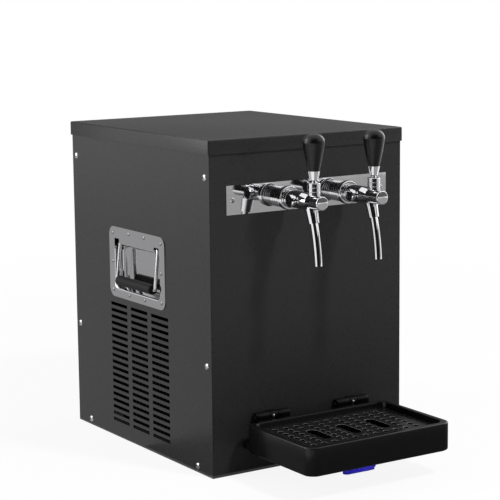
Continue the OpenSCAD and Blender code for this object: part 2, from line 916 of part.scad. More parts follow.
module shank_nuts() color("#b08d57")
    both_taps() translate([0, 0, -sheet_t - lock_nut_t])
        difference() {
            cylinder(d = lock_nut_d, h = lock_nut_t, $fn = 6);
            translate([0, 0, -eps]) cylinder(d = shank_d + hole_gap, h = lock_nut_t + 2 * eps);
        }

module coupling_nuts() color("#c4c4c6")
    both_taps() rotate_extrude() {
        nut_end = nut_start + nut_len;
        bevel = 1;
        polygon([
            [thread_d / 2 + fit, nut_start], [nut_d / 2 - bevel, nut_start],
            [nut_d / 2, nut_start + bevel], [nut_d / 2, nut_end - bevel],
            [nut_d / 2 - bevel, nut_end], [body_d / 2 + fit, nut_end],
            [body_d / 2 + fit, flange_f + fit], [thread_d / 2 + fit, flange_f + fit]]);
    }

// A point on the spout's straight axis, at the given distance from the tap's own axis
function spout_at(s) = [0, -s * cos(spout_tilt), spout_f + s * sin(spout_tilt)];

// The turned outside of the body, grown by the given extra
module body_skin(extra) {
    rotate_extrude()
        polygon([
            [0, body_start], [thread_d / 2 - fit, body_start],
            [thread_d / 2 - fit, flange_f], [body_d / 2 + extra, flange_f],
            [body_d / 2 + extra, taper_start], [nose_d / 2 + extra, taper_end],
            [nose_d / 2 + extra, body_f], [0, body_f]]);
}

module tap_body()
    difference() {
        union() {
            body_skin(0);
            translate([-flow_face, 0, flow_f]) rotate([0, 90, 0])
                cylinder(d = flow_stem_d + 2 * flow_boss_wall, h = flow_face);
            rod(spout_at(0), spout_at(boss_len), boss_d);
        }
        translate([0, 0, bore_start]) cylinder(d = bore_d, h = body_f - bore_start + eps);
        translate([0, 0, body_start - eps]) cylinder(d = shank_bore_d, h = bore_start);
        translate([0, collar_seat, lever_f]) rotate([-90, 0, 0])
            cylinder(d = collar_d + fit, h = body_d);
        translate([0, 0, lever_f])
            box([-finger_tip_d / 2 - move_gap, 0, -finger_room / 2],
                [finger_tip_d / 2 + move_gap, body_d, finger_room / 2]);
        rod(spout_at(0), spout_at(boss_len + eps), spout_bore_d);
        translate([-flow_face - eps, 0, flow_f]) rotate([0, 90, 0])
            cylinder(d = flow_stem_d + 2 * run_gap, h = flow_face + eps);
    }

module left_tap_body() color("#a9a9ab") front_face(-tap_x, tap_z) tap_body();

module right_tap_body() color("#a9a9ab") front_face(tap_x, tap_z) tap_body();

module front_caps() color("#bcbcbe")
    both_taps() {
        bevel = 0.8;
        translate([0, 0, body_f + fit / 2]) rotate_extrude()
            polygon([[0, 0], [nose_d / 2, 0], [nose_d / 2, cap_t - bevel],
                     [nose_d / 2 - bevel, cap_t], [0, cap_t]]);
        translate([0, 0, body_f - cap_seat]) cylinder(d = piston_d, h = cap_seat + fit);
    }

// The collar's three rings, on the lever's pivot, Y up
module lever_collars() color("#c4c4c6")
    both_taps() translate([0, pivot_up, lever_f]) rotate([-90, 0, 0]) rotate_extrude() {
        ring = (collar_above - collar_low) / 3;
        groove = 0.9;
        edge = 0.7;
        polygon(concat(
            [[foot_room_d / 2, collar_low]],
            [for (i = [0 : 2]) each [
                [collar_d / 2 - groove, collar_low + ring * i],
                [collar_d / 2, collar_low + ring * i + edge],
                [collar_d / 2, collar_low + ring * (i + 1) - edge],
                [collar_d / 2 - groove, collar_low + ring * (i + 1)]]],
            [[mouth_d / 2, collar_above], [socket_d / 2, 0]]));
    }

module at_lever(s) {
    front_face(s * tap_x, tap_z) translate([0, pivot_up, lever_f]) rotate([-90, 0, 0]) children();
}

// The lever stands on its pivot, Z up
module tap_lever() {
    sphere(d = ball_d);
    cylinder(d = neck_d, h = ferrule_above + neck_seat);
    cylinder(d = stud_d, h = stud_top);
    translate([0, 0, -finger_len]) {
        sphere(d = finger_tip_d);
        cylinder(d = finger_d, h = finger_len);
    }
}

module left_tap_lever() color("#c4c4c6") at_lever(-1) tap_lever();

module right_tap_lever() color("#c4c4c6") at_lever(1) tap_lever();

module lever_ferrule() {
    bevel = 1;
    difference() {
        rotate_extrude()
            polygon([[0, ferrule_above], [ferrule_foot_d / 2 - bevel, ferrule_above],
                     [ferrule_foot_d / 2, ferrule_above + bevel],
                     [ferrule_top_d / 2, knob_z - fit], [0, knob_z - fit]]);
        translate([0, 0, ferrule_above - eps]) cylinder(d = neck_d + fit, h = neck_seat + fit + eps);
        translate([0, 0, ferrule_above]) cylinder(d = stud_d + fit, h = ferrule_h);
    }
}

module left_lever_ferrule() color("#d2d2d4") at_lever(-1) lever_ferrule();

module right_lever_ferrule() color("#d2d2d4") at_lever(1) lever_ferrule();

// The teardrop handle swells on a sine to its widest ring and closes in a blunt dome
module tap_handle() {
    swell = 0.75 * knob_h;
    blunt = 0.92;
    dome_h = knob_h - swell;
    foot_r = knob_foot_d / 2;
    steps = 8;
    difference() {
        translate([0, 0, knob_z]) rotate_extrude()
            polygon(concat(
                [[0, 0]],
                [for (i = [0 : steps])
                    [foot_r + (knob_d / 2 - foot_r) * (0.6 * i / steps + 0.4 * sin(90 * i / steps)),
                     swell * i / steps]],
                [for (i = [1 : steps - 1]) [knob_d / 2 * pow(cos(90 * i / steps), blunt),
                                            swell + dome_h * pow(sin(90 * i / steps), blunt)]],
                [[0, knob_h]]));
        translate([0, 0, knob_z - eps]) cylinder(d = stud_d + fit, h = stud_top - knob_z + fit + eps);
    }
}

module left_tap_handle() color("#161616") at_lever(-1) tap_handle();

module right_tap_handle() color("#161616") at_lever(1) tap_handle();

module tap_piston()
    difference() {
        translate([0, 0, piston_start]) cylinder(d = piston_d, h = piston_end - piston_start);
        translate([0, 0, lever_f - groove_w / 2]) difference() {
            cylinder(d = piston_d + 2, h = groove_w);
            translate([0, 0, -eps]) cylinder(d = groove_d, h = groove_w + 2 * eps);
        }
    }

module left_tap_piston() color("#d9d4c7") front_face(-tap_x, tap_z) tap_piston();

module right_tap_piston() color("#d9d4c7") front_face(tap_x, tap_z) tap_piston();

module flow_knob()
    translate([-flow_face - move_gap, 0, flow_f]) rotate([0, -90, 0]) {
        bevel = 1;
        stem = flow_face - bore_d / 2 - 1;
        rotate_extrude()
            polygon([[0, 0], [flow_d / 2 - bevel, 0], [flow_d / 2, bevel],
                     [flow_d / 2, flow_t - bevel], [flow_d / 2 - bevel, flow_t], [0, flow_t]]);
        translate([0, 0, -stem]) cylinder(d = flow_stem_d, h = stem + eps);
    }

module left_flow_knob() color("#cfcfd1") front_face(-tap_x, tap_z) flow_knob();

module right_flow_knob() color("#cfcfd1") front_face(tap_x, tap_z) flow_knob();

module spout_sleeve()
    difference() {
        translate(spout_at(spout_root)) rotate([90 - spout_tilt, 0, 0])
            cylinder(d1 = sleeve_d, d2 = sleeve_foot_d, h = sleeve_len);
        rod(spout_at(0), spout_at(spout_root + sleeve_seat), boss_d + fit);
        rod(spout_at(0), spout_at(sleeve_end + eps), spout_d + fit);
        body_skin(fit / 2);
    }

module spout_sleeves() color("#c4c4c6") both_taps() spout_sleeve();

// The spout's curve below the sleeve, as a rod of the given diameter that ends over degrees further
module spout_curve(d, over) {
    start = spout_at(sleeve_end);
    rotate([0, -90, 0])
        translate([start[2] - spout_r * cos(spout_tilt), start[1] - spout_r * sin(spout_tilt), 0])
            rotate([0, 0, spout_tilt - spout_bend - over])
                rotate_extrude(angle = spout_bend + over) translate([spout_r, 0]) circle(d = d);
}

// A collar and a thinner tail inside the sleeve, then a curve that turns back towards upright
module spout()
    difference() {
        union() {
            spout_curve(spout_d, 0);
            rod(spout_at(boss_len + fit), spout_at(sleeve_end), spout_d - 2 * fit);
            rod(spout_at(boss_len + fit), spout_at(spout_root + sleeve_seat - fit), boss_d - fit);
        }
        spout_curve(spout_bore_d, 1);
        rod(spout_at(boss_len), spout_at(sleeve_end), spout_bore_d + fit);
    }

module left_spout() color("#c4c4c6") front_face(-tap_x, tap_z) spout();

module right_spout() color("#c4c4c6") front_face(tap_x, tap_z) spout();

// Drip tray

// An outline in plan with its own front and rear corner radii
module tray_outline(inset, front_r, rear_r) {
    x = tray_w / 2 - inset;
    front = tray_front + inset;
    rear = tray_rear - inset;
    for (s = [-1, 1]) {
        translate([s * (x - front_r), front + front_r]) circle(front_r);
        translate([s * (x - rear_r), rear - rear_r]) circle(rear_r);
    }
    translate([-x, front + front_r]) square([2 * x, rear - rear_r - front - front_r]);
    translate([-x + front_r, front]) square([2 * (x - front_r), 2 * front_r]);
    translate([-x + rear_r, rear - 2 * rear_r]) square([2 * (x - rear_r), 2 * rear_r]);
}

// The moulded block with its outer edges bevelled
module tray_block() {
    foot = tray_foot_bevel;
    lip = tray_lip_bevel;
    hull() {
        translate([0, 0, tray_low]) linear_extrude(skin)
            tray_outline(foot, tray_front_r - foot, tray_rear_r - foot);
        translate([0, 0, tray_low + foot]) linear_extrude(tray_h - foot - lip)
            tray_outline(0, tray_front_r, tray_rear_r);
        translate([0, 0, tray_z - skin]) linear_extrude(skin)
            tray_outline(lip, tray_front_r - lip, tray_rear_r - lip);
    }
}

module drip_tray() color("#171717") {
    inner_r = 4;
    well = tray_rim + tray_ledge;
    difference() {
        union() {
            tray_block();
            translate([0, drain_y, neck_low])
                cylinder(d = drain_neck_d, h = drain_neck_len + eps);
        }
        translate([0, 0, grille_low]) linear_extrude(tray_h)
            tray_outline(tray_rim, tray_front_r - tray_rim / 2, inner_r);
        translate([0, 0, tray_low + tray_floor]) linear_extrude(tray_h)
            tray_outline(well, tray_front_r - tray_rim / 2, inner_r);
        translate([0, drain_y, neck_low - eps]) cylinder(d = drain_bore_d, h = tray_h);
    }
}

// The plain holes keep clear of the three long slots
module drip_grille() color("#2f2f30") {
    land = 1.5;
    keep = (grille_slot_w + grille_hole_d) / 2 + land;
    inner_r = 4;
    difference() {
        translate([0, 0, grille_low]) linear_extrude(grille_t)
            tray_outline(tray_rim + move_gap, tray_front_r - tray_rim / 2, inner_r);
        translate([0, tray_mid, grille_low - eps]) linear_extrude(grille_t + 2 * eps) {
            for (i = [0 : grille_nx - 1], j = [0 : grille_ny - 1]) {
                x = (i - (grille_nx - 1) / 2) * grille_pitch_x;
                y = (j - (grille_ny - 1) / 2) * grille_pitch_y;
                near = min([for (k = [-1 : 1]) abs(x - k * grille_slot_pitch)]);
                if (near > keep || abs(y) > (grille_slot_len + grille_hole_d) / 2 + land)
                    translate([x, y]) circle(d = grille_hole_d);
            }
            for (k = [-1 : 1])
                translate([k * grille_slot_pitch, 0]) slot_shape(grille_slot_len, grille_slot_w);
        }
    }
}

module barrel(x0, x1, d) {
    translate([x0, hinge_y, hinge_z]) rotate([0, 90, 0]) cylinder(d = d, h = x1 - x0);
}

module hinge_blocks() color("#1c1c1c")
    for (s = [-1, 1]) difference() {
        x0 = s * hinge_x - block_w / 2;
        x1 = s * hinge_x + block_w / 2;
        union() {
            barrel(x0, x1, barrel_d);
            box([x0, hinge_y, hinge_z - barrel_d / 2], [x1, -half_d, hinge_z + barrel_d / 2]);
        }
        front_face(s * hinge_x, hinge_z) translate([0, 0, -eps])
            cylinder(d = hinge_screw_d + hole_gap, h = block_front + 2 * eps);
        front_face(s * hinge_x, hinge_z) translate([0, 0, hinge_screw_f])
            cylinder(d = hinge_head_d + fit, h = screw_head_h);
        for (e = [-1, 1]) mirror_about(s * hinge_x, e)
            barrel(x1 - pin_seat, x1 + eps, pin_d + fit);
    }

// The plane X = x mirrors what is built on its right-hand side
module mirror_about(x, e) {
    translate([x, 0, 0]) mirror([e > 0 ? 0 : 1, 0, 0]) translate([-x, 0, 0]) children();
}

module each_knuckle() {
    for (s = [-1, 1], e = [-1, 1]) mirror_about(s * hinge_x, e)
        translate([s * hinge_x, 0, 0]) children();
}

module hinge_knuckles() color("#1c1c1c")
    each_knuckle() difference() {
        x0 = block_w / 2 + move_gap;
        x1 = hinge_len / 2;
        union() {
            barrel(x0, x1, barrel_d);
            box([x0, tray_rear, tray_z - arm_drop - arm_h], [x1, hinge_y, tray_z - arm_drop]);
        }
        barrel(x0 - eps, x1 + eps, pin_d + 2 * run_gap);
    }

module hinge_pins() color("#9a9a9c")
    each_knuckle() barrel(block_w / 2 - pin_seat + fit, hinge_len / 2, pin_d);

module tray_bumpers() color("#202020")
    for (s = [-1, 1]) front_face(s * bumper_x, bumper_z) {
        cylinder(d = bumper_d, h = tray_gap - bumper_gap);
        translate([0, 0, -bumper_stud]) cylinder(d = screw_d, h = bumper_stud + eps);
    }

module drain_seal() color("#303030")
    translate([0, drain_y, seal_low]) difference() {
        cylinder(d = drain_neck_d, h = drain_seal_t);
        translate([0, 0, -eps]) cylinder(d = drain_bore_d, h = drain_seal_t + 2 * eps);
    }

// The cap's outline in plan, with a ridge for each rib
module ribbed_disc(d)
    polygon([for (i = [0 : 4 * drain_ribs - 1])
        (d / 2 - (i % 4 < 2 ? 0 : rib_h)) * [cos(90 * i / drain_ribs), sin(90 * i / drain_ribs)]]);

module drain_cap() color("#1a1090")
    translate([0, drain_y, cap_low]) {
        bevel = 3.5;
        difference() {
            intersection() {
                linear_extrude(cap_h) ribbed_disc(drain_cap_d);
                rotate_extrude()
                    polygon([[0, 0], [drain_cap_d / 2 - bevel, 0], [drain_cap_d / 2 + eps, bevel + eps],
                             [drain_cap_d / 2 + eps, cap_h], [0, cap_h]]);
            }
            translate([0, 0, drain_cap_floor]) cylinder(d = cap_bore_d, h = cap_h);
        }
        translate([0, 0, -drain_bar_h]) linear_extrude(drain_bar_h + drain_cap_floor / 2)
            rotate(90) slot_shape(drain_bar_len, drain_bar_w);
    }

// Cooling unit

module each_comp_foot() {
    for (sx = [-1, 1], sy = [-1, 1])
        translate([comp_x + sx * comp_foot, comp_y + sy * comp_foot, 0]) children();
}

module compressor() color("#1e1e1f")
    difference() {
        union() {
            steps = 6;
            crown = 40;
            foot = 18;
            translate([comp_x, comp_y, comp_low]) rotate_extrude()
                polygon(concat(
                    [[0, 0], [comp_d / 2 - foot, 0], [comp_d / 2, foot]],
                    [for (i = [0 : steps]) [comp_d / 2 * cos(90 * i / steps),
                                            comp_h - crown + crown * sin(90 * i / steps)]]));
            translate([comp_x, comp_y, comp_low - comp_plate_t]) linear_extrude(comp_plate_t + eps)
                rounded_rect(comp_d + 2 * comp_plate_edge, comp_d + 2 * comp_plate_edge, comp_plate_r);
        }
        each_comp_foot() translate([0, 0, pan_top])
            cylinder(d = grommet_stem_d + fit, h = comp_low + grommet_stem_h);
    }

module compressor_grommets() color("#141414")
    each_comp_foot() translate([0, 0, pan_top]) {
        cylinder(d = grommet_d, h = grommet_h);
        cylinder(d = grommet_stem_d, h = grommet_h + comp_plate_t + grommet_stem_h);
    }

// Fins on tubes between two end plates that stand on the base pan
module condenser() color("#19191a") {
    y1 = cond_w / 2;
    step = cond_w / (cond_fins + 1);
    for (i = [0 : cond_fins + 1]) {
        t = (i == 0 || i == cond_fins + 1) ? cond_plate_t : cond_fin_t;
        y = -y1 + i * step;
        low = (i == 0 || i == cond_fins + 1) ? pan_top : cond_low;
        box([cond_x, y - t / 2, low], [cond_x + cond_t, y + t / 2, cond_low + cond_h]);
    }
    for (j = [0 : cond_rows - 1])
        translate([cond_x + cond_t / 2, -y1 - cond_tail, cond_low + cond_h * (j + 0.5) / cond_rows])
            rotate([-90, 0, 0]) cylinder(d = cond_tube_d, h = cond_w + 2 * cond_tail);
}

// A plate with a ring round the fan and three arms that carry the motor
module fan_frame() color("#222223") {
    ring_start = fan_x + frame_ring_t / 2;
    difference() {
        union() {
            box([fan_x, -cond_w / 2, pan_top], [fan_x + frame_ring_t, cond_w / 2, cond_low + cond_h]);
            translate([ring_start, 0, fan_z]) rotate([0, 90, 0])
                cylinder(d = fan_ring_d + 2 * frame_ring_t, h = fan_t);
        }
        translate([fan_x - eps, 0, fan_z]) rotate([0, 90, 0])
            cylinder(d = fan_ring_d, h = fan_t + 2 * frame_ring_t);
    }
    for (a = [0 : 120 : 240]) translate([motor_x - frame_ring_t, 0, fan_z]) rotate([a, 0, 0])
        box([0, -arm_w / 2, motor_d / 2 - arm_over],
            [frame_ring_t, arm_w / 2, (fan_ring_d + frame_ring_t) / 2]);
}

module fan_motor() color("#3a3a3c")
    difference() {
        translate([motor_x, 0, fan_z]) rotate([0, 90, 0]) cylinder(d = motor_d, h = motor_len);
        translate([motor_x - eps, 0, fan_z]) rotate([0, 90, 0])
            cylinder(d = fan_shaft_d + 2 * run_gap, h = motor_len / 2 + eps);
    }

module fan_rotor() color("#2c2c2d")
    translate([fan_x, 0, fan_z]) rotate([0, 90, 0]) {
        hub_start = 5;
        hub_gap = 3;
        shaft_gap = 2;
        hub_len = fan_t - hub_start - frame_ring_t - hub_gap;
        translate([0, 0, hub_start]) cylinder(d = fan_hub_d, h = hub_len);
        translate([0, 0, hub_start]) cylinder(d = fan_shaft_d, h = fan_t - hub_start + motor_len / 2 - shaft_gap);
        intersection() {
            translate([0, 0, hub_start]) cylinder(d = fan_d, h = hub_len);
            for (i = [0 : fan_blades - 1]) rotate(i * 360 / fan_blades)
                translate([0, 0, hub_start + hub_len / 2]) rotate([blade_pitch, 0, 0])
                    box([fan_hub_d / 2 - blade_root, -blade_w / 2, -blade_t / 2],
                        [fan_d / 2 + blade_root, blade_w / 2, blade_t / 2]);
        }
    }

module refrigerant_lines() color("#b87346") {
    shell_top = comp_low + comp_h;
    tube_x = cond_x + cond_t / 2;
    tube_y = cond_w / 2 + cond_tail;
    high = cond_low + cond_h * (cond_rows - 0.5) / cond_rows;
    low = cond_low + cond_h * 0.5 / cond_rows;
    over = shelf_z - line_turn;
    shell_z = comp_low + comp_h / 2;
    run([[tube_x, tube_y + fit, high], [tube_x, tube_y + line_turn, high],
         [tube_x, tube_y + line_turn, over], [comp_x, tube_y + line_turn, over], [comp_x, comp_y, over],
         [comp_x, comp_y, shell_top + fit]], line_d);
    run([[suction_foot[0], suction_foot[1], cold_low - fit],
         [suction_foot[0], suction_foot[1], shell_z],
         [comp_x, suction_foot[1], shell_z],
         [comp_x, comp_y - comp_d / 2 - fit, shell_z]], line_d);
    run([[tube_x, -tube_y - fit, low], [tube_x, -tube_y - line_turn, low],
         [liquid_foot[0], -tube_y - line_turn, low], [liquid_foot[0], liquid_foot[1], low],
         [liquid_foot[0], liquid_foot[1], cold_low - fit]], line_d);
}

// Cold block

module cold_block() color("#c0c2c4")
    difference() {
        box([-block_x / 2, -block_y / 2, cold_low], [block_x / 2, block_y / 2, cold_top]);
        both_taps() translate([0, 0, -cab_d]) cylinder(d = beer_line_d + fit, h = cab_d);
    }

module foam_space(clear) {
    box([-block_x / 2 - clear, -block_y / 2 - clear, cold_low],
        [block_x / 2 + clear, block_y / 2 + clear, cover_low + eps]);
}

module insulation_box() color("#e6dfc8")
    difference() {
        box([-foam_x, -foam_y, foam_low], [foam_x, foam_y, cover_low]);
        foam_space(fit);
        both_taps() {
            translate([0, 0, -half_d]) cylinder(d = shank_d + 2 * hole_gap, h = half_d);
            translate([0, 0, -cab_d]) cylinder(d = beer_line_d + 2 * hole_gap, h = half_d);
        }
        for (p = [suction_foot, liquid_foot])
            translate([p[0], p[1], foam_low - eps])
                cylinder(d = line_d + 2 * hole_gap, h = foam_floor + 2 * eps);
    }

module insulation_cover() color("#ded6bd")
    union() {
        box([-foam_x, -foam_y, cover_low + fit], [foam_x, foam_y, foam_top]);
        box([-block_x / 2, -block_y / 2, cold_top + fit], [block_x / 2, block_y / 2, cover_low + fit]);
    }

module beer_lines() color("#dcdcdc")
    both_taps() difference() {
        start = fit - cab_d - inlet_line_seat;
        translate([0, 0, start]) cylinder(d = beer_line_d, h = -shank_tail + line_seat - fit - start);
        translate([0, 0, start - eps]) cylinder(d = beer_line_bore_d, h = cab_d);
    }

// Rear fittings

module beer_inlets() color("#b9babc")
    for (s = [-1, 1]) back_face(s * tap_x, tap_z) difference() {
        union() {
            cylinder(d = inlet_flange_d, h = inlet_flange_t);
            cylinder(d = inlet_d, h = inlet_flange_t + inlet_len);
            translate([0, 0, -sheet_t - inlet_nut_t])
                cylinder(d = inlet_neck_d, h = inlet_nut_t + sheet_t + eps);
        }
        translate([0, 0, -sheet_t - inlet_nut_t - eps])
            cylinder(d = beer_line_d + fit, h = inlet_nut_t + sheet_t + inlet_line_seat + eps);
        cylinder(d = beer_line_bore_d, h = inlet_flange_t + inlet_len + eps);
    }

module thermostat() color("#4a4a4c")
    back_face(-dial_x, dial_z) difference() {
        translate([0, 0, -sheet_t]) {
            box([-stat_w / 2, -stat_h / 2, -stat_t], [stat_w / 2, stat_h / 2, 0]);
        }
        translate([0, 0, -sheet_t - stat_bore])
            cylinder(d = dial_shaft_d + 2 * run_gap, h = stat_bore + eps);
    }

module thermostat_knob() color("#1b1b1c")
    back_face(-dial_x, dial_z) {
        bevel = 2;
        taper = 1;
        pointer_w = 2;
        pointer_h = 1.4;
        pointer_inset = 4;
        shaft_gap = 1;
        translate([0, 0, move_gap]) rotate_extrude()
            polygon([[0, 0], [dial_d / 2, 0], [dial_d / 2 - taper, dial_t - bevel],
                     [dial_d / 2 - taper - bevel, dial_t], [0, dial_t]]);
        shaft = sheet_t + stat_bore - shaft_gap;
        translate([0, 0, -shaft]) cylinder(d = dial_shaft_d, h = shaft + move_gap + eps);
        translate([-pointer_w / 2, 0, dial_t]) cube([pointer_w, dial_d / 2 - pointer_inset, pointer_h]);
    }

module mains_inlet() color("#151515")
    back_face(mains_x, mains_z) {
        difference() {
            union() {
                linear_extrude(mains_flange_t) difference() {
                    rounded_rect(mains_flange_w, mains_flange_h, mains_flange_r);
                    for (s = [-1, 1]) translate([s * mains_screw_x, 0]) circle(d = screw_d + hole_gap);
                }
                box([-mains_body_w / 2, -mains_body_h / 2, -mains_depth - mains_wall],
                    [mains_body_w / 2, mains_body_h / 2, eps]);
            }
            box([mains_wall - mains_body_w / 2, mains_wall - mains_body_h / 2, -mains_depth],
                [mains_body_w / 2 - mains_wall, mains_body_h / 2 - mains_wall, mains_flange_t + eps]);
        }
        for (i = [-1 : 1]) translate([i * mains_pin_pitch, i == 0 ? mains_pin_up : -mains_pin_down, 0])
            box([-mains_pin_w / 2, -mains_pin_h / 2, -mains_depth - eps],
                [mains_pin_w / 2, mains_pin_h / 2, -mains_pin_back]);
    }

base_pan();
front_panel();
back_panel();
left_side_panel();
right_side_panel();
lid();
mid_shelf();
case_screws();
tap_plate();
tap_shanks();
shank_nuts();
coupling_nuts();
left_tap_body();
right_tap_body();
front_caps();
lever_collars();
left_tap_lever();
right_tap_lever();
left_lever_ferrule();
right_lever_ferrule();
left_tap_handle();
right_tap_handle();
left_tap_piston();
right_tap_piston();
left_flow_knob();
right_flow_knob();
spout_sleeves();
left_spout();
right_spout();
left_handle_plate();
right_handle_plate();
left_handle_bail();
right_handle_bail();
left_handle_grip();
right_handle_grip();
handle_rivets();
drip_tray();
drip_grille();
hinge_blocks();
hinge_knuckles();
hinge_pins();
tray_bumpers();
drain_seal();
drain_cap();
compressor();
compressor_grommets();
condenser();
fan_frame();
fan_motor();
fan_rotor();
refrigerant_lines();
cold_block();
insulation_box();
insulation_cover();
beer_lines();
beer_inlets();
thermostat();
thermostat_knob();
mains_inlet();
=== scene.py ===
import math

import bmesh
import bpy
from mathutils import Matrix, Vector


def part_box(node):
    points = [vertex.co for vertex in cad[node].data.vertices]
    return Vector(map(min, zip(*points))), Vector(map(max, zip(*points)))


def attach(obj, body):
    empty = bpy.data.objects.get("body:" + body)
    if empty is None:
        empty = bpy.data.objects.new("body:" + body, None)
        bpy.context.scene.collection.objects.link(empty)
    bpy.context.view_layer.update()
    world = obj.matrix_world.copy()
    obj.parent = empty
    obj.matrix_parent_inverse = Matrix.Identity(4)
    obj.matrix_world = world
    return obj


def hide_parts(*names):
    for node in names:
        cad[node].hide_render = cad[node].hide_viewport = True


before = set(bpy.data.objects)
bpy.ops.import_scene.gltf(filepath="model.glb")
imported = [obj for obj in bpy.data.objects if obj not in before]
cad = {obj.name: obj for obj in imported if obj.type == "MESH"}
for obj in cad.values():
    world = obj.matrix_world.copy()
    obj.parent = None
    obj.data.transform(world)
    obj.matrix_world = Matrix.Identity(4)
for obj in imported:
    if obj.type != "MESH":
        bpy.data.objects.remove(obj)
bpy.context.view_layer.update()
scene = bpy.context.scene
scene.view_settings.view_transform = "Standard"
mm = 0.001
print("frame loaded:", len(cad), "nodes")

# camera, where the photographer stood
shot = {
    "place": (-1.432573, -2.261347, 0.725105),
    "right": (0.838175, -0.545302, -0.010403),
    "up": (0.094662, 0.126667, 0.987418),
    "lens": 121.766,  # mm
    "sensor": 36,  # mm, square
    "clipEnd": 60,  # m
}
cameraData = bpy.data.cameras.new("shotCamera")
cameraData.lens = shot["lens"]
cameraData.sensor_width = shot["sensor"]
cameraData.clip_end = shot["clipEnd"]
camera = bpy.data.objects.new("shotCamera", cameraData)
scene.collection.objects.link(camera)
right, up = Vector(shot["right"]).normalized(), Vector(shot["up"]).normalized()
turn = Matrix((right, up, right.cross(up))).transposed()
camera.matrix_world = Matrix.Translation(shot["place"]) @ turn.to_4x4()
scene.camera = camera
print("camera set")


# materials

def linear(code):  # sRGB hex to linear
    parts = [int(code[i:i + 2], 16) / 255 for i in (1, 3, 5)]
    return [c / 12.92 if c <= 0.04045 else ((c + 0.055) / 1.055) ** 2.4 for c in parts] + [1.0]


def addNode(tree, kind, inputs=None, **settings):
    node = tree.nodes.new(kind)
    for name, value in settings.items():
        setattr(node, name, value)
    for socket, value in (inputs or {}).items():
        if isinstance(value, bpy.types.NodeSocket):
            tree.links.new(value, node.inputs[socket])
        else:
            node.inputs[socket].default_value = value
    return node


def surface(name, **sockets):
    material = bpy.data.materials.new(name)
    material.use_nodes = True
    tree = material.node_tree
    shader = tree.nodes["Principled BSDF"]
    for socket, value in sockets.items():
        shader.inputs[socket.replace("_", " ")].default_value = value
    return material, tree, shader


grain = {"span": (0.3, 0.7), "height": 0.2}  # noise at the two ends of the gloss, and the bump's mm


def dappled(name, sizeMm, dark, light, rough, detail=3.0, bump=0.0, stretch=(1, 1, 1), **sockets):
    # one soft noise moves colour, gloss and height together, as a real finish does
    material, tree, shader = surface(name, **sockets)
    place = addNode(tree, "ShaderNodeTexCoord").outputs["Object"]
    grid = addNode(tree, "ShaderNodeMapping", {"Vector": place, "Scale": stretch}).outputs[0]
    noise = addNode(tree, "ShaderNodeTexNoise",
                    {"Vector": grid, "Scale": 1 / (sizeMm * mm), "Detail": detail}).outputs[0]
    tone = addNode(tree, "ShaderNodeMix", {0: noise, 6: linear(dark), 7: linear(light)}, data_type="RGBA")
    span = grain["span"]
    gloss = addNode(tree, "ShaderNodeMapRange", {0: noise, 1: span[0], 2: span[1], 3: rough[0], 4: rough[1]})
    tree.links.new(tone.outputs[2], shader.inputs["Base Color"])
    tree.links.new(gloss.outputs[0], shader.inputs["Roughness"])
    if bump:
        relief = addNode(tree, "ShaderNodeBump",
                         {"Height": noise, "Strength": bump, "Distance": grain["height"] * mm})
        tree.links.new(relief.outputs[0], shader.inputs["Normal"])
    return material


# polyester powder coat on sheet steel: even satin black with a faint orange peel, drawn 5 mm wide to show
powderCoat = dappled("powderCoatedSteel", 5.0, "#242425", "#272728", (0.27, 0.31), 1.0, 0.004,
                     IOR=1.5, Specular_IOR_Level=0.4)

# brushed-on underseal inside the base pan: dead matt black
underseal = dappled("blackUnderseal", 6.0, "#060606", "#0a0a0a", (0.7, 0.85), 3.0, 0.1,
                    IOR=1.5, Specular_IOR_Level=0.1)

# polished stainless sheet: a mirror with hair lines along its length, so reflections drag sideways a little
polishedPlate = dappled("polishedStainless", 1.2, "#e6e6e8", "#ececed", (0.03, 0.06), 2.0, 0.0, (0.02, 1, 1),
                        Metallic=1.0)

# bright chrome on turned brass: near black and white reflections, with faint wiping marks
chrome = dappled("chromedBrass", 9.0, "#e8e8ea", "#eeeef0", (0.03, 0.07), Metallic=1.0)

# chrome over coarse turning, on the ringed pieces: black and white run together into mid grey bands
satinChrome = dappled("chromedTurnings", 9.0, "#d8d8da", "#dfdfe1", (0.1, 0.12), Metallic=1.0)

# phenolic moulding buffed by hand: deep black with one soft window streak
handleBlack = dappled("blackPhenolic", 7.0, "#090909", "#0c0c0c", (0.26, 0.32),
                      IOR=1.5, Specular_IOR_Level=0.42)

# zinc plated deep drawn sheet: a mid grey mirror, with the press's faint drag marks across it
zincPlate = dappled("zincPlatedSheet", 6.0, "#bababc", "#c2c2c4", (0.05, 0.08), 4.0, 0.02, (1, 1, 0.35),
                    Metallic=1.0)

# upset zinc rivets: duller than the plate, each with one small light spot
dullZinc = dappled("dullZincRivets", 1.5, "#8c8c8e", "#98989a", (0.3, 0.4), Metallic=1.0)

# bright zinc wire, drawn: small sharp highlights that run along the wire
brightWire = dappled("brightZincWire", 2.0, "#cdcdce", "#d6d6d7", (0.12, 0.2), 2.0, Metallic=1.0)

# nickel plated dome screws: bright with a soft bloom
screwMetal = dappled("nickelPlatedSteel", 1.5, "#d2d2d2", "#dcdcdc", (0.12, 0.2), Metallic=1.0)

# extruded and moulded rubber: deep matt black with a fine drag grain
rubber = dappled("blackRubber", 1.6, "#0b0b0c", "#101011", (0.5, 0.6), 3.0, 0.12,
                 IOR=1.42, Specular_IOR_Level=0.3)

# moulded ABS with a spark eroded grain, 1.6 mm wide to show: black satin with soft edge lights
trayPlastic = dappled("blackAbs", 1.6, "#0a0a0a", "#0d0d0d", (0.2, 0.25), 2.0, 0.03,
                      IOR=1.48, Specular_IOR_Level=0.4)

# hinge mouldings in plain acetal: blacker than the tray, with a thin dim light along each barrel
hingePlastic = dappled("blackAcetal", 1.6, "#050505", "#070707", (0.16, 0.24), 2.0, 0.03,
                       IOR=1.48, Specular_IOR_Level=0.15)

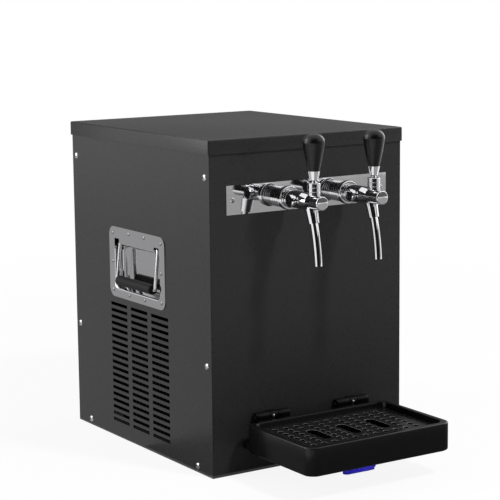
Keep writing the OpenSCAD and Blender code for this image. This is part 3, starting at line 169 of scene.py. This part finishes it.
# stove enamelled grille: near black with a soft sheen, so the painted glints on its hole rims stand out
grilleEnamel = dappled("blackEnamel", 4.0, "#0f0f10", "#131314", (0.22, 0.3), IOR=1.5, Specular_IOR_Level=0.4)

# painted highlight on the grille's hole rims: a grey enamel that stands in for small glints round every hole
rimGlintPaint = dappled("paintedRimGlint", 1.5, "#6c6c6e", "#787879", (0.2, 0.28), IOR=1.5)

# blue polypropylene cap: waxy satin; its own saturated blue is brightened further to make up for the shade it sits
# in under the tray, so partly painted light
bluePlastic = dappled("bluePolypropylene", 3.0, "#3020f4", "#3626ff", (0.34, 0.42), 2.0, 0.06, IOR=1.49)

# turned mild steel pins: grey with rings left by the tool
turnedSteel = dappled("turnedSteel", 0.8, "#98989a", "#a2a2a4", (0.22, 0.3), 2.0, 0.0, (1, 0.1, 0.1),
                      Metallic=1.0)

# bare hexagon brass: warm with a dull oxide bloom
brass = dappled("bareBrass", 5.0, "#a98550", "#b8965c", (0.25, 0.38), Metallic=1.0)

# sand cast aluminium: pale grey with a grainy skin
castAluminium = dappled("castAluminium", 1.5, "#b4b6b8", "#c2c4c6", (0.42, 0.55), 4.0, 0.3, Metallic=1.0)

# galvanised shelf: dull zinc with 10 mm spangles
galvanised = dappled("galvanisedSteel", 10.0, "#7f7f81", "#96969a", (0.35, 0.5), 0.0, Metallic=1.0)

# rigid polyurethane foam: cream with open cells about 1.5 mm across
foam = dappled("rigidFoam", 1.5, "#d9cfae", "#ebe3c8", (0.8, 0.95), 5.0, 0.5, IOR=1.45)

# annealed stainless tube: pale, soft gloss
stainlessTube = dappled("stainlessTube", 6.0, "#c4c4c5", "#d0d0d1", (0.18, 0.28), Metallic=1.0)

# air dried black machine paint on the compressor and condenser: satin, slightly runny
machinePaint = dappled("blackMachinePaint", 14.0, "#0e0e0f", "#131314", (0.35, 0.45), 3.0, 0.15, IOR=1.5)

# glass filled nylon of the fan, its motor and the thermostat: matt black with fibre marks
fanNylon = dappled("glassFilledNylon", 1.8, "#141415", "#1b1b1c", (0.5, 0.62), 4.0, 0.15, (1, 0.4, 1),
                   IOR=1.53)

# natural acetal: milky white, slippery satin
acetal = dappled("naturalAcetal", 8.0, "#d6d1c4", "#dfdacd", (0.35, 0.45), IOR=1.48)
print("materials made")

finishes = {
    underseal: ["base_pan"],
    powderCoat: ["front_panel", "back_panel", "left_side_panel", "right_side_panel", "lid"],
    galvanised: ["mid_shelf"],
    screwMetal: ["case_screws"],
    polishedPlate: ["tap_plate"],
    satinChrome: ["tap_shanks", "lever_collars"],
    chrome: ["coupling_nuts", "left_tap_body", "right_tap_body", "front_caps", "left_tap_lever",
             "right_tap_lever", "left_lever_ferrule", "right_lever_ferrule", "left_flow_knob", "right_flow_knob",
             "spout_sleeves", "left_spout", "right_spout"],
    brass: ["shank_nuts"],
    handleBlack: ["left_tap_handle", "right_tap_handle"],
    acetal: ["left_tap_piston", "right_tap_piston"],
    zincPlate: ["left_handle_plate", "right_handle_plate"],
    dullZinc: ["handle_rivets"],
    brightWire: ["left_handle_bail", "right_handle_bail"],
    rubber: ["left_handle_grip", "right_handle_grip", "tray_bumpers", "compressor_grommets", "drain_seal",
             "refrigerant_lines"],
    trayPlastic: ["drip_tray", "thermostat_knob", "mains_inlet"],
    hingePlastic: ["hinge_blocks", "hinge_knuckles"],
    grilleEnamel: ["drip_grille"],
    turnedSteel: ["hinge_pins"],
    bluePlastic: ["drain_cap"],
    machinePaint: ["compressor", "condenser"],
    fanNylon: ["fan_frame", "fan_motor", "fan_rotor", "thermostat"],
    castAluminium: ["cold_block"],
    foam: ["insulation_box", "insulation_cover"],
    stainlessTube: ["beer_lines", "beer_inlets"],
}
for material, names in finishes.items():
    for name in names:
        cad[name].data.materials.clear()
        cad[name].data.materials.append(material)
print("CAD nodes dressed")


# modelling moves that the pieces share
touch = 0.05 * mm  # near enough to lie on an edge or a face
weld = {"gap": 0.002, "flat": 0.5}  # mm and degrees
caseHalf = (173.0, 212.0)  # mm from the middle to the side walls, and to the front and the back


def pickOnly(*pieces):
    if bpy.context.mode != "OBJECT":
        bpy.ops.object.mode_set(mode="OBJECT")
    bpy.ops.object.select_all(action="DESELECT")
    for piece in pieces:
        piece.select_set(True)
        bpy.context.view_layer.objects.active = piece


def pickParts(piece, kind, test):  # in edit mode, picks the points, edges or faces that pass
    bpy.ops.mesh.select_mode(type=kind)
    bpy.ops.mesh.select_all(action="DESELECT")
    mesh = bmesh.from_edit_mesh(piece.data)
    for part in {"VERT": mesh.verts, "EDGE": mesh.edges, "FACE": mesh.faces}[kind]:
        if test(part):
            part.select_set(True)
    bmesh.update_edit_mesh(piece.data)


def applyAll(piece):
    pickOnly(piece)
    for modifier in list(piece.modifiers):
        bpy.ops.object.modifier_apply(modifier=modifier.name)


def finishPiece(piece, material, body, slot, *nodes, angle=35):
    applyAll(piece)
    bpy.ops.object.transform_apply(location=True, rotation=True, scale=True)
    bpy.ops.object.shade_smooth_by_angle(angle=math.radians(angle))
    piece.data.materials.clear()
    piece.data.materials.append(material)
    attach(piece, body)
    if nodes:
        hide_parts(*nodes)


def cadCopy(node, name):  # the node's own mesh, welded into clean faces
    piece = bpy.data.objects.new(name, cad[node].data.copy())
    scene.collection.objects.link(piece)
    pickOnly(piece)
    bpy.ops.mesh.customdata_custom_splitnormals_clear()
    bpy.ops.object.mode_set(mode="EDIT")
    bpy.ops.mesh.select_all(action="SELECT")
    bpy.ops.mesh.remove_doubles(threshold=weld["gap"] * mm)
    bpy.ops.mesh.dissolve_limited(angle_limit=math.radians(weld["flat"]))
    bpy.ops.object.mode_set(mode="OBJECT")
    return piece


def easeEdges(piece, width, segments=2, angle=40):
    bevel = piece.modifiers.new("easedEdges", "BEVEL")
    bevel.width, bevel.segments = width * mm, segments
    bevel.limit_method, bevel.angle_limit = "ANGLE", math.radians(angle)
    applyAll(piece)


def roundedSheet(name, width, depth, centre, radii, segments=8):  # radii at the low-Y and the high-Y corners
    pickOnly()
    bpy.ops.mesh.primitive_plane_add(size=1, location=centre)
    piece = bpy.context.active_object
    piece.name = name
    piece.scale = (width, depth, 1)
    bpy.ops.object.transform_apply(location=True, rotation=True, scale=True)
    bpy.ops.object.mode_set(mode="EDIT")
    for side, radius in zip((-1, 1), radii):
        pickParts(piece, "VERT", lambda v: (v.co.y - centre[1]) * side > 0)
        bpy.ops.mesh.bevel(offset=radius, offset_type="OFFSET", segments=segments, affect="VERTICES")
    return piece  # still in edit mode


def stepRings(size, centre, height, rings):  # extrude the picked rim through insets and heights, all in mm
    inset = 0.0
    for newInset, newHeight in rings:
        grow = [(side - 2 * newInset * mm) / (side - 2 * inset * mm) for side in size]
        bpy.ops.mesh.extrude_region_move(TRANSFORM_OT_translate={"value": (0, 0, (newHeight - height) * mm)})
        bpy.ops.transform.resize(value=(grow[0], grow[1], 1), center_override=centre)
        inset, height = newInset, newHeight


def cutWith(piece, cutter, operation="DIFFERENCE"):
    pickOnly(piece)
    cut = piece.modifiers.new("cut", "BOOLEAN")
    cut.operation, cut.solver, cut.object = operation, "EXACT", cutter
    bpy.ops.object.modifier_apply(modifier="cut")
    bpy.data.objects.remove(cutter)


def quarter(steps):  # sine and cosine round a quarter turn
    return [(math.sin(math.radians(90 * i / steps)), math.cos(math.radians(90 * i / steps)))
            for i in range(1, steps + 1)]


# lid, folded from one sheet with soft folds
lidShape = {"fold": 2.2, "wall": 1.2}  # mm
low, high = [Vector(corner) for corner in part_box("lid")]
pickOnly()
bpy.ops.mesh.primitive_cube_add(size=1, location=(low + high) / 2)
lid = bpy.context.active_object
lid.name = "foldedLid"
lid.scale = high - low
bpy.ops.object.transform_apply(location=True, rotation=True, scale=True)
bpy.ops.object.mode_set(mode="EDIT")
pickParts(lid, "FACE", lambda f: f.normal.z < -0.5)  # open below
bpy.ops.mesh.delete(type="FACE")
pickParts(lid, "EDGE", lambda e: len(e.link_faces) == 2)
bpy.ops.mesh.bevel(offset=lidShape["fold"] * mm, segments=4)
pickOnly(lid)
wall = lid.modifiers.new("wall", "SOLIDIFY")
wall.thickness, wall.offset = lidShape["wall"] * mm, -1
finishPiece(lid, powderCoat, "cabinet", "black_sheet", "lid")
print("lid folded")

# drip tray, one moulding with round edges, drawn in and down through its rings
trayShape = {"low": 38.0, "foot": 3.4, "lip": 1.8, "rim": 9.0, "rimRound": 1.4, "rimEase": (0.5, 0.4),
             "ledge": 6.0, "ledgeZ": 70.0, "floorZ": 43.0,
             "bowlDraft": 0.6, "bowlFoot": (3.4, 3.0), "bowlEase": (1.4, 0.8),
             "frontCorner": 19.0, "rearCorner": 18.0,
             "drainY": -337.5, "neck": 40.0, "neckTop": 41.0, "bore": 30.0, "boreSpan": (20.0, 50.0)}  # mm
low, high = [Vector(corner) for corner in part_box("drip_tray")]
top = high.z / mm
foot, lip = trayShape["foot"], trayShape["lip"]
size = (high.x - low.x - 2 * foot * mm, high.y - low.y - 2 * foot * mm)
centre = ((low.x + high.x) / 2, (low.y + high.y) / 2, trayShape["low"] * mm)
tray = roundedSheet("dripTray", *size, centre,
                    [(trayShape[key] - foot) * mm for key in ("frontCorner", "rearCorner")], 10)
pickParts(tray, "FACE", lambda f: True)
rings = [(-foot * s, trayShape["low"] + foot * (1 - c)) for s, c in quarter(4)]
rings += [(-foot, top - lip)]
rings += [(-foot + lip * (1 - c), top - lip * (1 - s)) for s, c in quarter(4)]
inner = trayShape["rim"] - foot
ledgeZ, floorZ, rimRound = trayShape["ledgeZ"], trayShape["floorZ"], trayShape["rimRound"]
easeIn, easeDown = trayShape["rimEase"]
rings += [(inner - rimRound, top), (inner - easeIn, top - easeDown), (inner, top - rimRound), (inner, ledgeZ)]
inner += trayShape["ledge"]
footIn, footUp = trayShape["bowlFoot"]
easeIn, easeUp = trayShape["bowlEase"]
rings += [(inner, ledgeZ), (inner + trayShape["bowlDraft"], floorZ + footUp), (inner + easeIn, floorZ + easeUp),
          (inner + footIn, floorZ)]
stepRings(size, centre, trayShape["low"], rings)
bpy.ops.mesh.select_all(action="SELECT")
bpy.ops.mesh.normals_make_consistent(inside=False)
drain = (("neck", low.z / mm, trayShape["neckTop"], "UNION"), ("bore", *trayShape["boreSpan"], "DIFFERENCE"))
for key, start, end, way in drain:
    pickOnly()
    bpy.ops.mesh.primitive_cylinder_add(vertices=48, radius=trayShape[key] / 2 * mm, depth=(end - start) * mm,
                                        location=(0, trayShape["drainY"] * mm, (start + end) / 2 * mm))
    cutWith(tray, bpy.context.active_object, way)
finishPiece(tray, trayPlastic, "tray", "tray", "drip_tray")
print("drip tray moulded")

# grille, pressed so each hole has a turned-in edge
# the rims take a painted glint and the hole walls painted shade, picked by how far up each face looks
grilleShape = {"press": 0.5, "flat": 0.97, "rim": 0.3}  # mm, and how far up the top and the rims look
grille = cadCopy("drip_grille", "pressedGrille")
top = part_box("drip_grille")[1][2]
bpy.ops.object.mode_set(mode="EDIT")
pickParts(grille, "EDGE", lambda e: len(e.link_faces) == 2 and all(abs(v.co.z - top) < touch for v in e.verts)
          and min(f.normal.z for f in e.link_faces) < 0.5)
bpy.ops.mesh.bevel(offset=grilleShape["press"] * mm, segments=3)
finishPiece(grille, grilleEnamel, "tray", "tray", "drip_grille")
grille.data.materials.append(rimGlintPaint)
grille.data.materials.append(hingePlastic)  # painted shade: the hole walls take the blacker hinge acetal, so the holes read dark
# faces that look up keep the enamel; the rims get the painted glint, the hole walls the painted shade
for part in grille.data.polygons:
    lookUp = part.normal.z
    part.material_index = 0 if lookUp > grilleShape["flat"] else 1 if lookUp > grilleShape["rim"] else 2
print("grille pressed")

# carry handles, modelled flat with X along the cabinet, Y up and Z outwards, then stood on both sides
handleShape = {"plate": (173.0, 112.5), "corner": 14.0, "sheet": 1.2, "mouth": (140.0, 70.5), "mouthY": -6.05,
               "mouthCorner": 9.0, "lip": 2.6, "depth": 16.0, "draft": 3.0, "sweep": 4.0,
               "span": 119.0, "pivot": (33.2, -4.0), "grip": (-27.8, 3.0), "wire": 5.5, "bend": 4.0,
               "wireEnd": 43.3, "slotIn": 54.75, "slotOut": 69.4, "slotHigh": 37.95, "slotLow": 23.2,
               "slotZ": -3.2, "slotDeep": 9.2, "tube": (9.0, 12.0), "tubeWall": 1.5, "tubeGap": 0.45,
               "gripWide": 15.5, "gripLong": 105.0, "gripRound": 2.2, "gripCup": (2.0, 1.2),
               "place": (4.0, 286.8),  # mm, as all above
               "wallShare": 0.8}  # of the draft is used up where the dish's floor starts to sweep in


def standing(side):  # the flat handle's frame on the left (-1) or the right (1) wall
    x, y, z = [at * mm for at in (caseHalf[0], *handleShape["place"])]
    return Matrix(((0, 0, side, side * x), (side, 0, 0, y), (0, 1, 0, z), (0, 0, 0, 1)))


stand = {"left": standing(-1), "right": standing(1)}


def standBothSides(piece, name, material, part, slot, node, angle=35):  # part is the body's name after the side
    for side, place in stand.items():
        copy = bpy.data.objects.new(f"{side}{name}", piece.data.copy())
        scene.collection.objects.link(copy)
        copy.matrix_world = place
        body = f"{side}_{part}" if part else "cabinet"
        finishPiece(copy, material, body, slot, f"{side}_{node}", angle=angle)
    bpy.data.objects.remove(piece)


face = handleShape["sheet"]
lip = handleShape["lip"]
mouth = [(side + 2 * lip) * mm for side in handleShape["mouth"]]
mouthCentre = (0, handleShape["mouthY"] * mm, face * mm)
outer = roundedSheet("plateBlank", *[side * mm for side in handleShape["plate"]], (0, 0, face * mm),
                     [handleShape["corner"] * mm] * 2)
opening = roundedSheet("plateMouth", *mouth, mouthCentre, [(handleShape["mouthCorner"] + lip) * mm] * 2)
pickOnly(opening, outer)
bpy.ops.object.join()
plate = bpy.context.active_object
bpy.ops.object.mode_set(mode="EDIT")
bpy.ops.mesh.select_mode(type="FACE")
bpy.ops.mesh.select_all(action="SELECT")
bpy.ops.mesh.delete(type="ONLY_FACE")
bpy.ops.mesh.select_mode(type="EDGE")
bpy.ops.mesh.select_all(action="SELECT")
bpy.ops.mesh.bridge_edge_loops()
pickParts(plate, "EDGE", lambda e: len(e.link_faces) == 1 and all(
    abs(v.co.x) < mouth[0] / 2 + touch and abs(v.co.y - mouthCentre[1]) < mouth[1] / 2 + touch for v in e.verts))
floorZ = face - handleShape["depth"]
sweep = handleShape["sweep"]
wallIn = lip + handleShape["draft"] * handleShape["wallShare"]
rings = [(lip * s, face - lip * (1 - c)) for s, c in quarter(4)]
rings += [(wallIn, floorZ + sweep)]
rings += [(wallIn + sweep * (1 - c), floorZ + sweep * (1 - s)) for s, c in quarter(4)]
stepRings(mouth, mouthCentre, face, rings)
bpy.ops.mesh.edge_face_add()
bpy.ops.mesh.select_all(action="SELECT")
bpy.ops.mesh.normals_make_consistent(inside=False)
pickOnly(plate)
facing = [f for f in plate.data.polygons if abs(f.normal.z) > 0.9]
if sum(f.normal.z * f.area for f in facing) < 0:
    plate.data.flip_normals()
wall = plate.modifiers.new("wall", "SOLIDIFY")
wall.thickness, wall.offset = handleShape["sheet"] * mm, -1
applyAll(plate)
slotIn, slotOut, slotLow, slotHigh = [handleShape[key] for key in ("slotIn", "slotOut", "slotLow", "slotHigh")]
for side in (-1, 1):  # the slots that the wire swings in
    pickOnly()
    middle = (side * (slotIn + slotOut) / 2, (slotHigh + slotLow) / 2, handleShape["slotZ"])
    bpy.ops.mesh.primitive_cube_add(size=1, location=[at * mm for at in middle])
    cutter = bpy.context.active_object
    cutter.scale = [length * mm for length in (slotOut - slotIn, slotHigh - slotLow, handleShape["slotDeep"])]
    bpy.ops.object.transform_apply(location=True, rotation=True, scale=True)
    cutWith(plate, cutter)
tubeWide, tubeLong = handleShape["tube"]
tubeX = slotIn - handleShape["tubeGap"] - tubeLong / 2
pivotY, pivotZ = handleShape["pivot"]
for side in (-1, 1):  # the wire's bearing tubes, behind the plate
    pickOnly()
    bpy.ops.mesh.primitive_cylinder_add(vertices=32, radius=tubeWide / 2 * mm, depth=tubeLong * mm,
                                        end_fill_type="NOTHING", rotation=(0, math.pi / 2, 0),
                                        location=(side * tubeX * mm, pivotY * mm, pivotZ * mm))
    tube = bpy.context.active_object
    bpy.ops.object.transform_apply(location=True, rotation=True, scale=True)
    wall = tube.modifiers.new("wall", "SOLIDIFY")
    wall.thickness, wall.offset = handleShape["tubeWall"] * mm, -1
    applyAll(tube)
    pickOnly(tube, plate)
    bpy.ops.object.join()
standBothSides(plate, "HandlePlate", zincPlate, "", "handle_plate", "handle_plate", 30)

# the bail, one length of wire with four bends
gripY, gripZ = handleShape["grip"]
halfSpan, wireEnd, bend = handleShape["span"] / 2, handleShape["wireEnd"], handleShape["bend"]
corners = [Vector(at) for at in (
    (-wireEnd, pivotY, pivotZ), (-halfSpan, pivotY, pivotZ), (-halfSpan, gripY, gripZ),
    (halfSpan, gripY, gripZ), (halfSpan, pivotY, pivotZ), (wireEnd, pivotY, pivotZ))]
route = [corners[0]]
for before, corner, after in zip(corners, corners[1:], corners[2:]):
    come, go = (corner - before).normalized(), (after - corner).normalized()
    hub = corner + (go - come) * bend
    route += [hub - go * bend * c + come * bend * s for s, c in [(0, 1)] + quarter(6)]
route.append(corners[-1])
pickOnly()
bpy.ops.curve.primitive_bezier_curve_add()
wire = bpy.context.active_object
wire.data.splines.clear()
run = wire.data.splines.new("POLY")
run.points.add(len(route) - 1)
for point, place in zip(run.points, route):
    point.co = (*(place * mm), 1)
wire.data.bevel_depth = handleShape["wire"] / 2 * mm
wire.data.bevel_resolution = 6
wire.data.use_fill_caps = True
bpy.ops.object.convert(target="MESH")
wire = bpy.context.active_object
standBothSides(wire, "HandleBail", brightWire, "bail", "wire", "handle_bail", 50)

# the grip, a rubber sleeve with rounded ends and a shallow cup where the wire goes in
gripLong = handleShape["gripLong"] * mm
pickOnly()
bpy.ops.mesh.primitive_cylinder_add(vertices=48, radius=handleShape["gripWide"] / 2 * mm, depth=gripLong,
                                    location=(0, gripY * mm, gripZ * mm), rotation=(0, math.pi / 2, 0))
grip = bpy.context.active_object
bpy.ops.object.transform_apply(location=True, rotation=True, scale=True)
bpy.ops.object.mode_set(mode="EDIT")
pickParts(grip, "EDGE", lambda e: min(abs(v.co.x) for v in e.verts) > gripLong / 2 - touch
          and abs(e.verts[0].co.x - e.verts[1].co.x) < touch)
bpy.ops.mesh.bevel(offset=handleShape["gripRound"] * mm, segments=4)
pickParts(grip, "FACE", lambda f: abs(f.normal.x) > 0.99)
cupIn, cupDeep = handleShape["gripCup"]
bpy.ops.mesh.inset(thickness=cupIn * mm)
bpy.ops.mesh.extrude_region_shrink_fatten(TRANSFORM_OT_shrink_fatten={"value": -cupDeep * mm})
standBothSides(grip, "HandleGrip", rubber, "bail", "grip", "handle_grip", 50)
print("carry handles pressed and bent")

# screws, one dome head with a cross in it, copied to every place
screwShape = {"head": 7.6, "dome": 2.4, "shank": 4.0, "long": 6.0, "sunk": 0.3,
              "crossWide": 1.1, "crossLong": 4.4, "crossDeep": 1.5,
              "caseHead": 10.4,  # mm, as all above: the side walls' own screws have wider heads
              "twist": 0.7}  # radians from one screw's cross to the next
pickOnly()
bpy.ops.mesh.primitive_uv_sphere_add(segments=28, ring_count=16, radius=screwShape["head"] / 2 * mm)
screw = bpy.context.active_object
bpy.ops.object.mode_set(mode="EDIT")
bpy.ops.mesh.select_all(action="SELECT")
bpy.ops.mesh.bisect(plane_co=(0, 0, 0), plane_no=(0, 0, 1), use_fill=True, clear_inner=True)
bpy.ops.mesh.select_all(action="SELECT")
bpy.ops.transform.resize(value=(1, 1, screwShape["dome"] / (screwShape["head"] / 2)), center_override=(0, 0, 0))
for turnBy in (0, 1):
    pickOnly()
    bpy.ops.mesh.primitive_cube_add(size=1, location=(0, 0, screwShape["dome"] * mm))
    cutter = bpy.context.active_object
    across = (screwShape["crossLong"], screwShape["crossWide"])
    cutter.scale = (across[turnBy] * mm, across[1 - turnBy] * mm, 2 * screwShape["crossDeep"] * mm)
    bpy.ops.object.transform_apply(location=True, rotation=True, scale=True)
    cutWith(screw, cutter)
pickOnly()
bpy.ops.mesh.primitive_cylinder_add(vertices=16, radius=screwShape["shank"] / 2 * mm, depth=screwShape["long"] * mm,
                                    location=(0, 0, (screwShape["sunk"] - screwShape["long"] / 2) * mm))
shank = bpy.context.active_object
bpy.ops.object.transform_apply(location=True, rotation=True, scale=True)
pickOnly(shank, screw)
bpy.ops.object.join()
cadCopy("case_screws", "screwPlaces")
bpy.ops.mesh.separate(type="LOOSE")
marks = list(bpy.context.selected_objects)
wallX, wallY = [half * mm for half in caseHalf]
heads = []
for mark in marks:
    spots = [v.co for v in mark.data.vertices]
    lowest = Vector([min(s[i] for s in spots) for i in range(3)])
    highest = Vector([max(s[i] for s in spots) for i in range(3)])
    mid = (lowest + highest) / 2
    reach = {(-1, 0, 0): -wallX - lowest.x, (1, 0, 0): highest.x - wallX,
             (0, -1, 0): -wallY - lowest.y, (0, 1, 0): highest.y - wallY}
    out = Vector(max(reach, key=reach.get))
    grow = max(highest[i] - lowest[i] for i in range(3) if not out[i]) / (screwShape["head"] * mm)
    tip = Vector([(highest[i] if out[i] > 0 else lowest[i]) if out[i] else mid[i] for i in range(3)])
    head = bpy.data.objects.new("screwHead", screw.data.copy())
    scene.collection.objects.link(head)
    twist = Matrix.Rotation(screwShape["twist"] * len(heads), 4, "Z")
    spread = screwShape["caseHead"] / screwShape["head"] if out.x else 1
    seat = Matrix.Translation(tip - out * screwShape["dome"] * grow * mm)
    aim = out.to_track_quat("Z", "Y").to_matrix().to_4x4()
    head.matrix_world = seat @ aim @ twist @ Matrix.Diagonal((grow * spread, grow * spread, grow, 1))
    heads.append(head)
    bpy.data.objects.remove(mark)
bpy.data.objects.remove(screw)
pickOnly(*heads)
bpy.ops.object.transform_apply(location=True, rotation=True, scale=True)
bpy.ops.object.join()
screws = bpy.context.active_object
screws.name = "domeScrews"
finishPiece(screws, screwMetal, "cabinet", "screws", "case_screws")
print("screws driven:", len(heads))

# edges of the turned, moulded and cast pieces eased as the maker leaves them
easedEdges = [  # node, piece, mm, finish, body, slot
    ("hinge_blocks", "hingeBlocks", 0.8, hingePlastic, "cabinet", "tray"),
    ("hinge_knuckles", "hingeKnuckles", 0.8, hingePlastic, "tray", "tray"),
    ("drain_cap", "drainCap", 0.6, bluePlastic, "cap", "drain_cap"),
    ("tray_bumpers", "trayBumpers", 1.0, rubber, "cabinet", "grip"),
    ("thermostat_knob", "thermostatKnob", 0.6, trayPlastic, "dial", "tray"),
    ("front_caps", "frontCaps", 0.5, chrome, "cabinet", "tap_chrome"),
    ("coupling_nuts", "couplingNuts", 0.5, chrome, "cabinet", "tap_chrome"),
]
for node, name, width, finish, body, slot in easedEdges:
    piece = cadCopy(node, name)
    easeEdges(piece, width)
    finishPiece(piece, finish, body, slot, node)
print("edges eased:", len(easedEdges))

# thermostat scale: white ticks and plain numbers printed round the knob, and its white pointer
scaleShape = {"marks": 7, "step": 45.0, "tickRing": 20.6, "numberRing": 26.5, "tick": (1.0, 3.6),
              "tickCorner": 0.4, "number": 5.2, "ink": 0.12, "ribTop": 0.3}  # mm and degrees
low, high = [Vector(corner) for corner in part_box("thermostat_knob")]
facing = Matrix(((-1, 0, 0, (low.x + high.x) / 2), (0, 0, 1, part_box("back_panel")[1][1]),
                 (0, 1, 0, (low.z + high.z) / 2), (0, 0, 0, 1)))  # read from behind
prints = []
for mark in range(scaleShape["marks"]):
    turnBy = Matrix.Rotation(math.radians(mark * scaleShape["step"]), 4, "Z")
    tick = roundedSheet("tick", *[side * mm for side in scaleShape["tick"]], (0, 0, 0),
                        [scaleShape["tickCorner"] * mm] * 2, 3)
    pickOnly(tick)
    tick.matrix_world = facing @ turnBy @ Matrix.Translation((0, scaleShape["tickRing"] * mm, 0))
    pickOnly()
    bpy.ops.object.text_add()
    number = bpy.context.active_object
    number.data.body, number.data.size = str(mark), scaleShape["number"] * mm
    number.data.align_x, number.data.align_y = "CENTER", "CENTER"
    bpy.ops.object.convert(target="MESH")
    number = bpy.context.active_object
    number.matrix_world = facing @ Matrix.Translation(turnBy @ Vector((0, scaleShape["numberRing"] * mm, 0)))
    for inked in (tick, number):
        ink = inked.modifiers.new("ink", "SOLIDIFY")
        ink.thickness, ink.offset = scaleShape["ink"] * mm, 1
        applyAll(inked)
        bpy.ops.object.transform_apply(location=True, rotation=True, scale=True)
        prints.append(inked)
pickOnly(*prints)
bpy.ops.object.join()
scale = bpy.context.active_object
scale.name = "thermostatScale"
finishPiece(scale, acetal, "cabinet", "piston")
knob = bpy.data.objects["thermostatKnob"]
knob.data.materials.append(acetal)
for part in knob.data.polygons:  # the top of its rib is white
    part.material_index = int(part.center.y > high.y - scaleShape["ribTop"] * mm)
print("scale printed")

# stage: pale floor, white room, soft boxes, and grey cards and mats that only reflections see
room = {
    "floorSize": 24.0,
    "paper": "#f4f4f4",
    "floorGlow": (0.9, 1.0),  # share of plain white near the object and far off, so only a faint shadow stays
    "floorFade": (0.5, 2.2),  # m from the middle, where the one share starts to turn into the other and ends
    "fill": 0.35,
    "boxes": [  # place, aim, width, height, watts, mirrored
        ((-2.2, 1.15, 1.3), (0, 0, 0.3), 1.4, 2.0, 32, True),
        ((0.5, -1.7, 2.4), (0, -0.2, 0.35), 0.3, 0.3, 52, False),
        ((2.2, 0.4, 1.2), (0, -0.1, 0.3), 1.0, 1.8, 14, True),
    ],
    "cards": [  # centre, width, height, turn about Z in degrees, tilt in degrees, grey
        ((-0.9, -2.26, 2.0), 4.2, 4.0, -27, 90, "#1a1a1a"),
        ((0.9, 2.0, 1.0), 3.6, 2.0, 0, 90, "#7c7c7c"),
        ((2.3, -3.9, 0.7), 4.4, 1.4, 30, 90, "#5e5e5e"),
        # the two mats at the object's foot are painted shade: a darker floor where the object shades it, seen only
        # in reflections
        ((0.33, -0.48, 0.004), 1.0, 0.94, 0, 0, "#5a5a5a"),
        ((-0.31, -0.48, 0.004), 0.28, 0.94, 0, 0, "#747474"),
        ((1.0, -2.1, 0.003), 2.9, 2.4, 0, 0, "#a0a0a0"),
        ((-1.1, 1.4, 0.002), 2.0, 3.2, 0, 0, "#bcbcbc"),
    ],
}
world = bpy.data.worlds.new("whiteRoom")
scene.world = world
world.use_nodes = True
tree = world.node_tree
tree.nodes.clear()


def seenDirectly(tree):  # 1 where the camera, a mirror or glass looks
    path = addNode(tree, "ShaderNodeLightPath").outputs
    shiny = addNode(tree, "ShaderNodeMath", {0: path["Is Glossy Ray"], 1: path["Is Transmission Ray"]},
                    operation="MAXIMUM").outputs[0]
    return addNode(tree, "ShaderNodeMath", {0: path["Is Camera Ray"], 1: shiny}, operation="MAXIMUM").outputs[0]


fill = addNode(tree, "ShaderNodeBackground", {"Color": (1, 1, 1, 1), "Strength": room["fill"]})
white = addNode(tree, "ShaderNodeBackground", {"Color": (1, 1, 1, 1), "Strength": 1.0})
mix = addNode(tree, "ShaderNodeMixShader", {0: seenDirectly(tree), 1: fill.outputs[0], 2: white.outputs[0]})
addNode(tree, "ShaderNodeOutputWorld", {"Surface": mix.outputs[0]})

pickOnly()
bpy.ops.mesh.primitive_plane_add(size=room["floorSize"])
floor = bpy.context.active_object
floor.name = "floor"
paper, tree, shader = surface("paperFloor", Roughness=0.9)
shader.inputs["Base Color"].default_value = linear(room["paper"])
glow = addNode(tree, "ShaderNodeEmission", {"Color": (1, 1, 1, 1), "Strength": 1.0})
place = addNode(tree, "ShaderNodeTexCoord").outputs["Object"]
away = addNode(tree, "ShaderNodeVectorMath", {0: place}, operation="LENGTH").outputs["Value"]
(near, far), (nearGlow, farGlow) = room["floorFade"], room["floorGlow"]
fade = addNode(tree, "ShaderNodeMapRange", {0: away, 1: near, 2: far, 3: nearGlow, 4: farGlow},
               interpolation_type="SMOOTHSTEP")
share = addNode(tree, "ShaderNodeMath", {0: seenDirectly(tree), 1: fade.outputs[0]}, operation="MULTIPLY")
mix = addNode(tree, "ShaderNodeMixShader", {0: share.outputs[0], 1: shader.outputs[0], 2: glow.outputs[0]})
tree.links.new(mix.outputs[0], tree.nodes["Material Output"].inputs["Surface"])
floor.data.materials.append(paper)

for number, (place, width, height, spin, tilt, grey) in enumerate(room["cards"]):
    pickOnly()
    bpy.ops.mesh.primitive_plane_add(size=1, location=place, rotation=(math.radians(tilt), 0, math.radians(spin)))
    card = bpy.context.active_object
    card.name = f"card{number}"
    card.scale = (width, height, 1)
    card.visible_camera = False
    card.visible_diffuse = False  # it works on reflections alone
    card.visible_shadow = False
    board, tree, shader = surface(f"cardBoard{number}", Base_Color=(0, 0, 0, 1), Specular_IOR_Level=0.0)
    shader.inputs["Emission Color"].default_value = linear(grey)  # glows evenly, so the grey is the one seen
    shader.inputs["Emission Strength"].default_value = 1.0
    card.data.materials.append(board)

for number, (place, aim, width, height, watts, mirrored) in enumerate(room["boxes"]):
    lampData = bpy.data.lights.new(f"softBox{number}", "AREA")
    lampData.shape = "RECTANGLE"
    lampData.size, lampData.size_y = width, height
    lampData.energy = watts
    lamp = bpy.data.objects.new(f"softBox{number}", lampData)
    scene.collection.objects.link(lamp)
    lamp.visible_glossy = mirrored
    lamp.location = place
    lamp.rotation_euler = (Vector(aim) - Vector(place)).to_track_quat("-Z", "Y").to_euler()
print("stage lit")
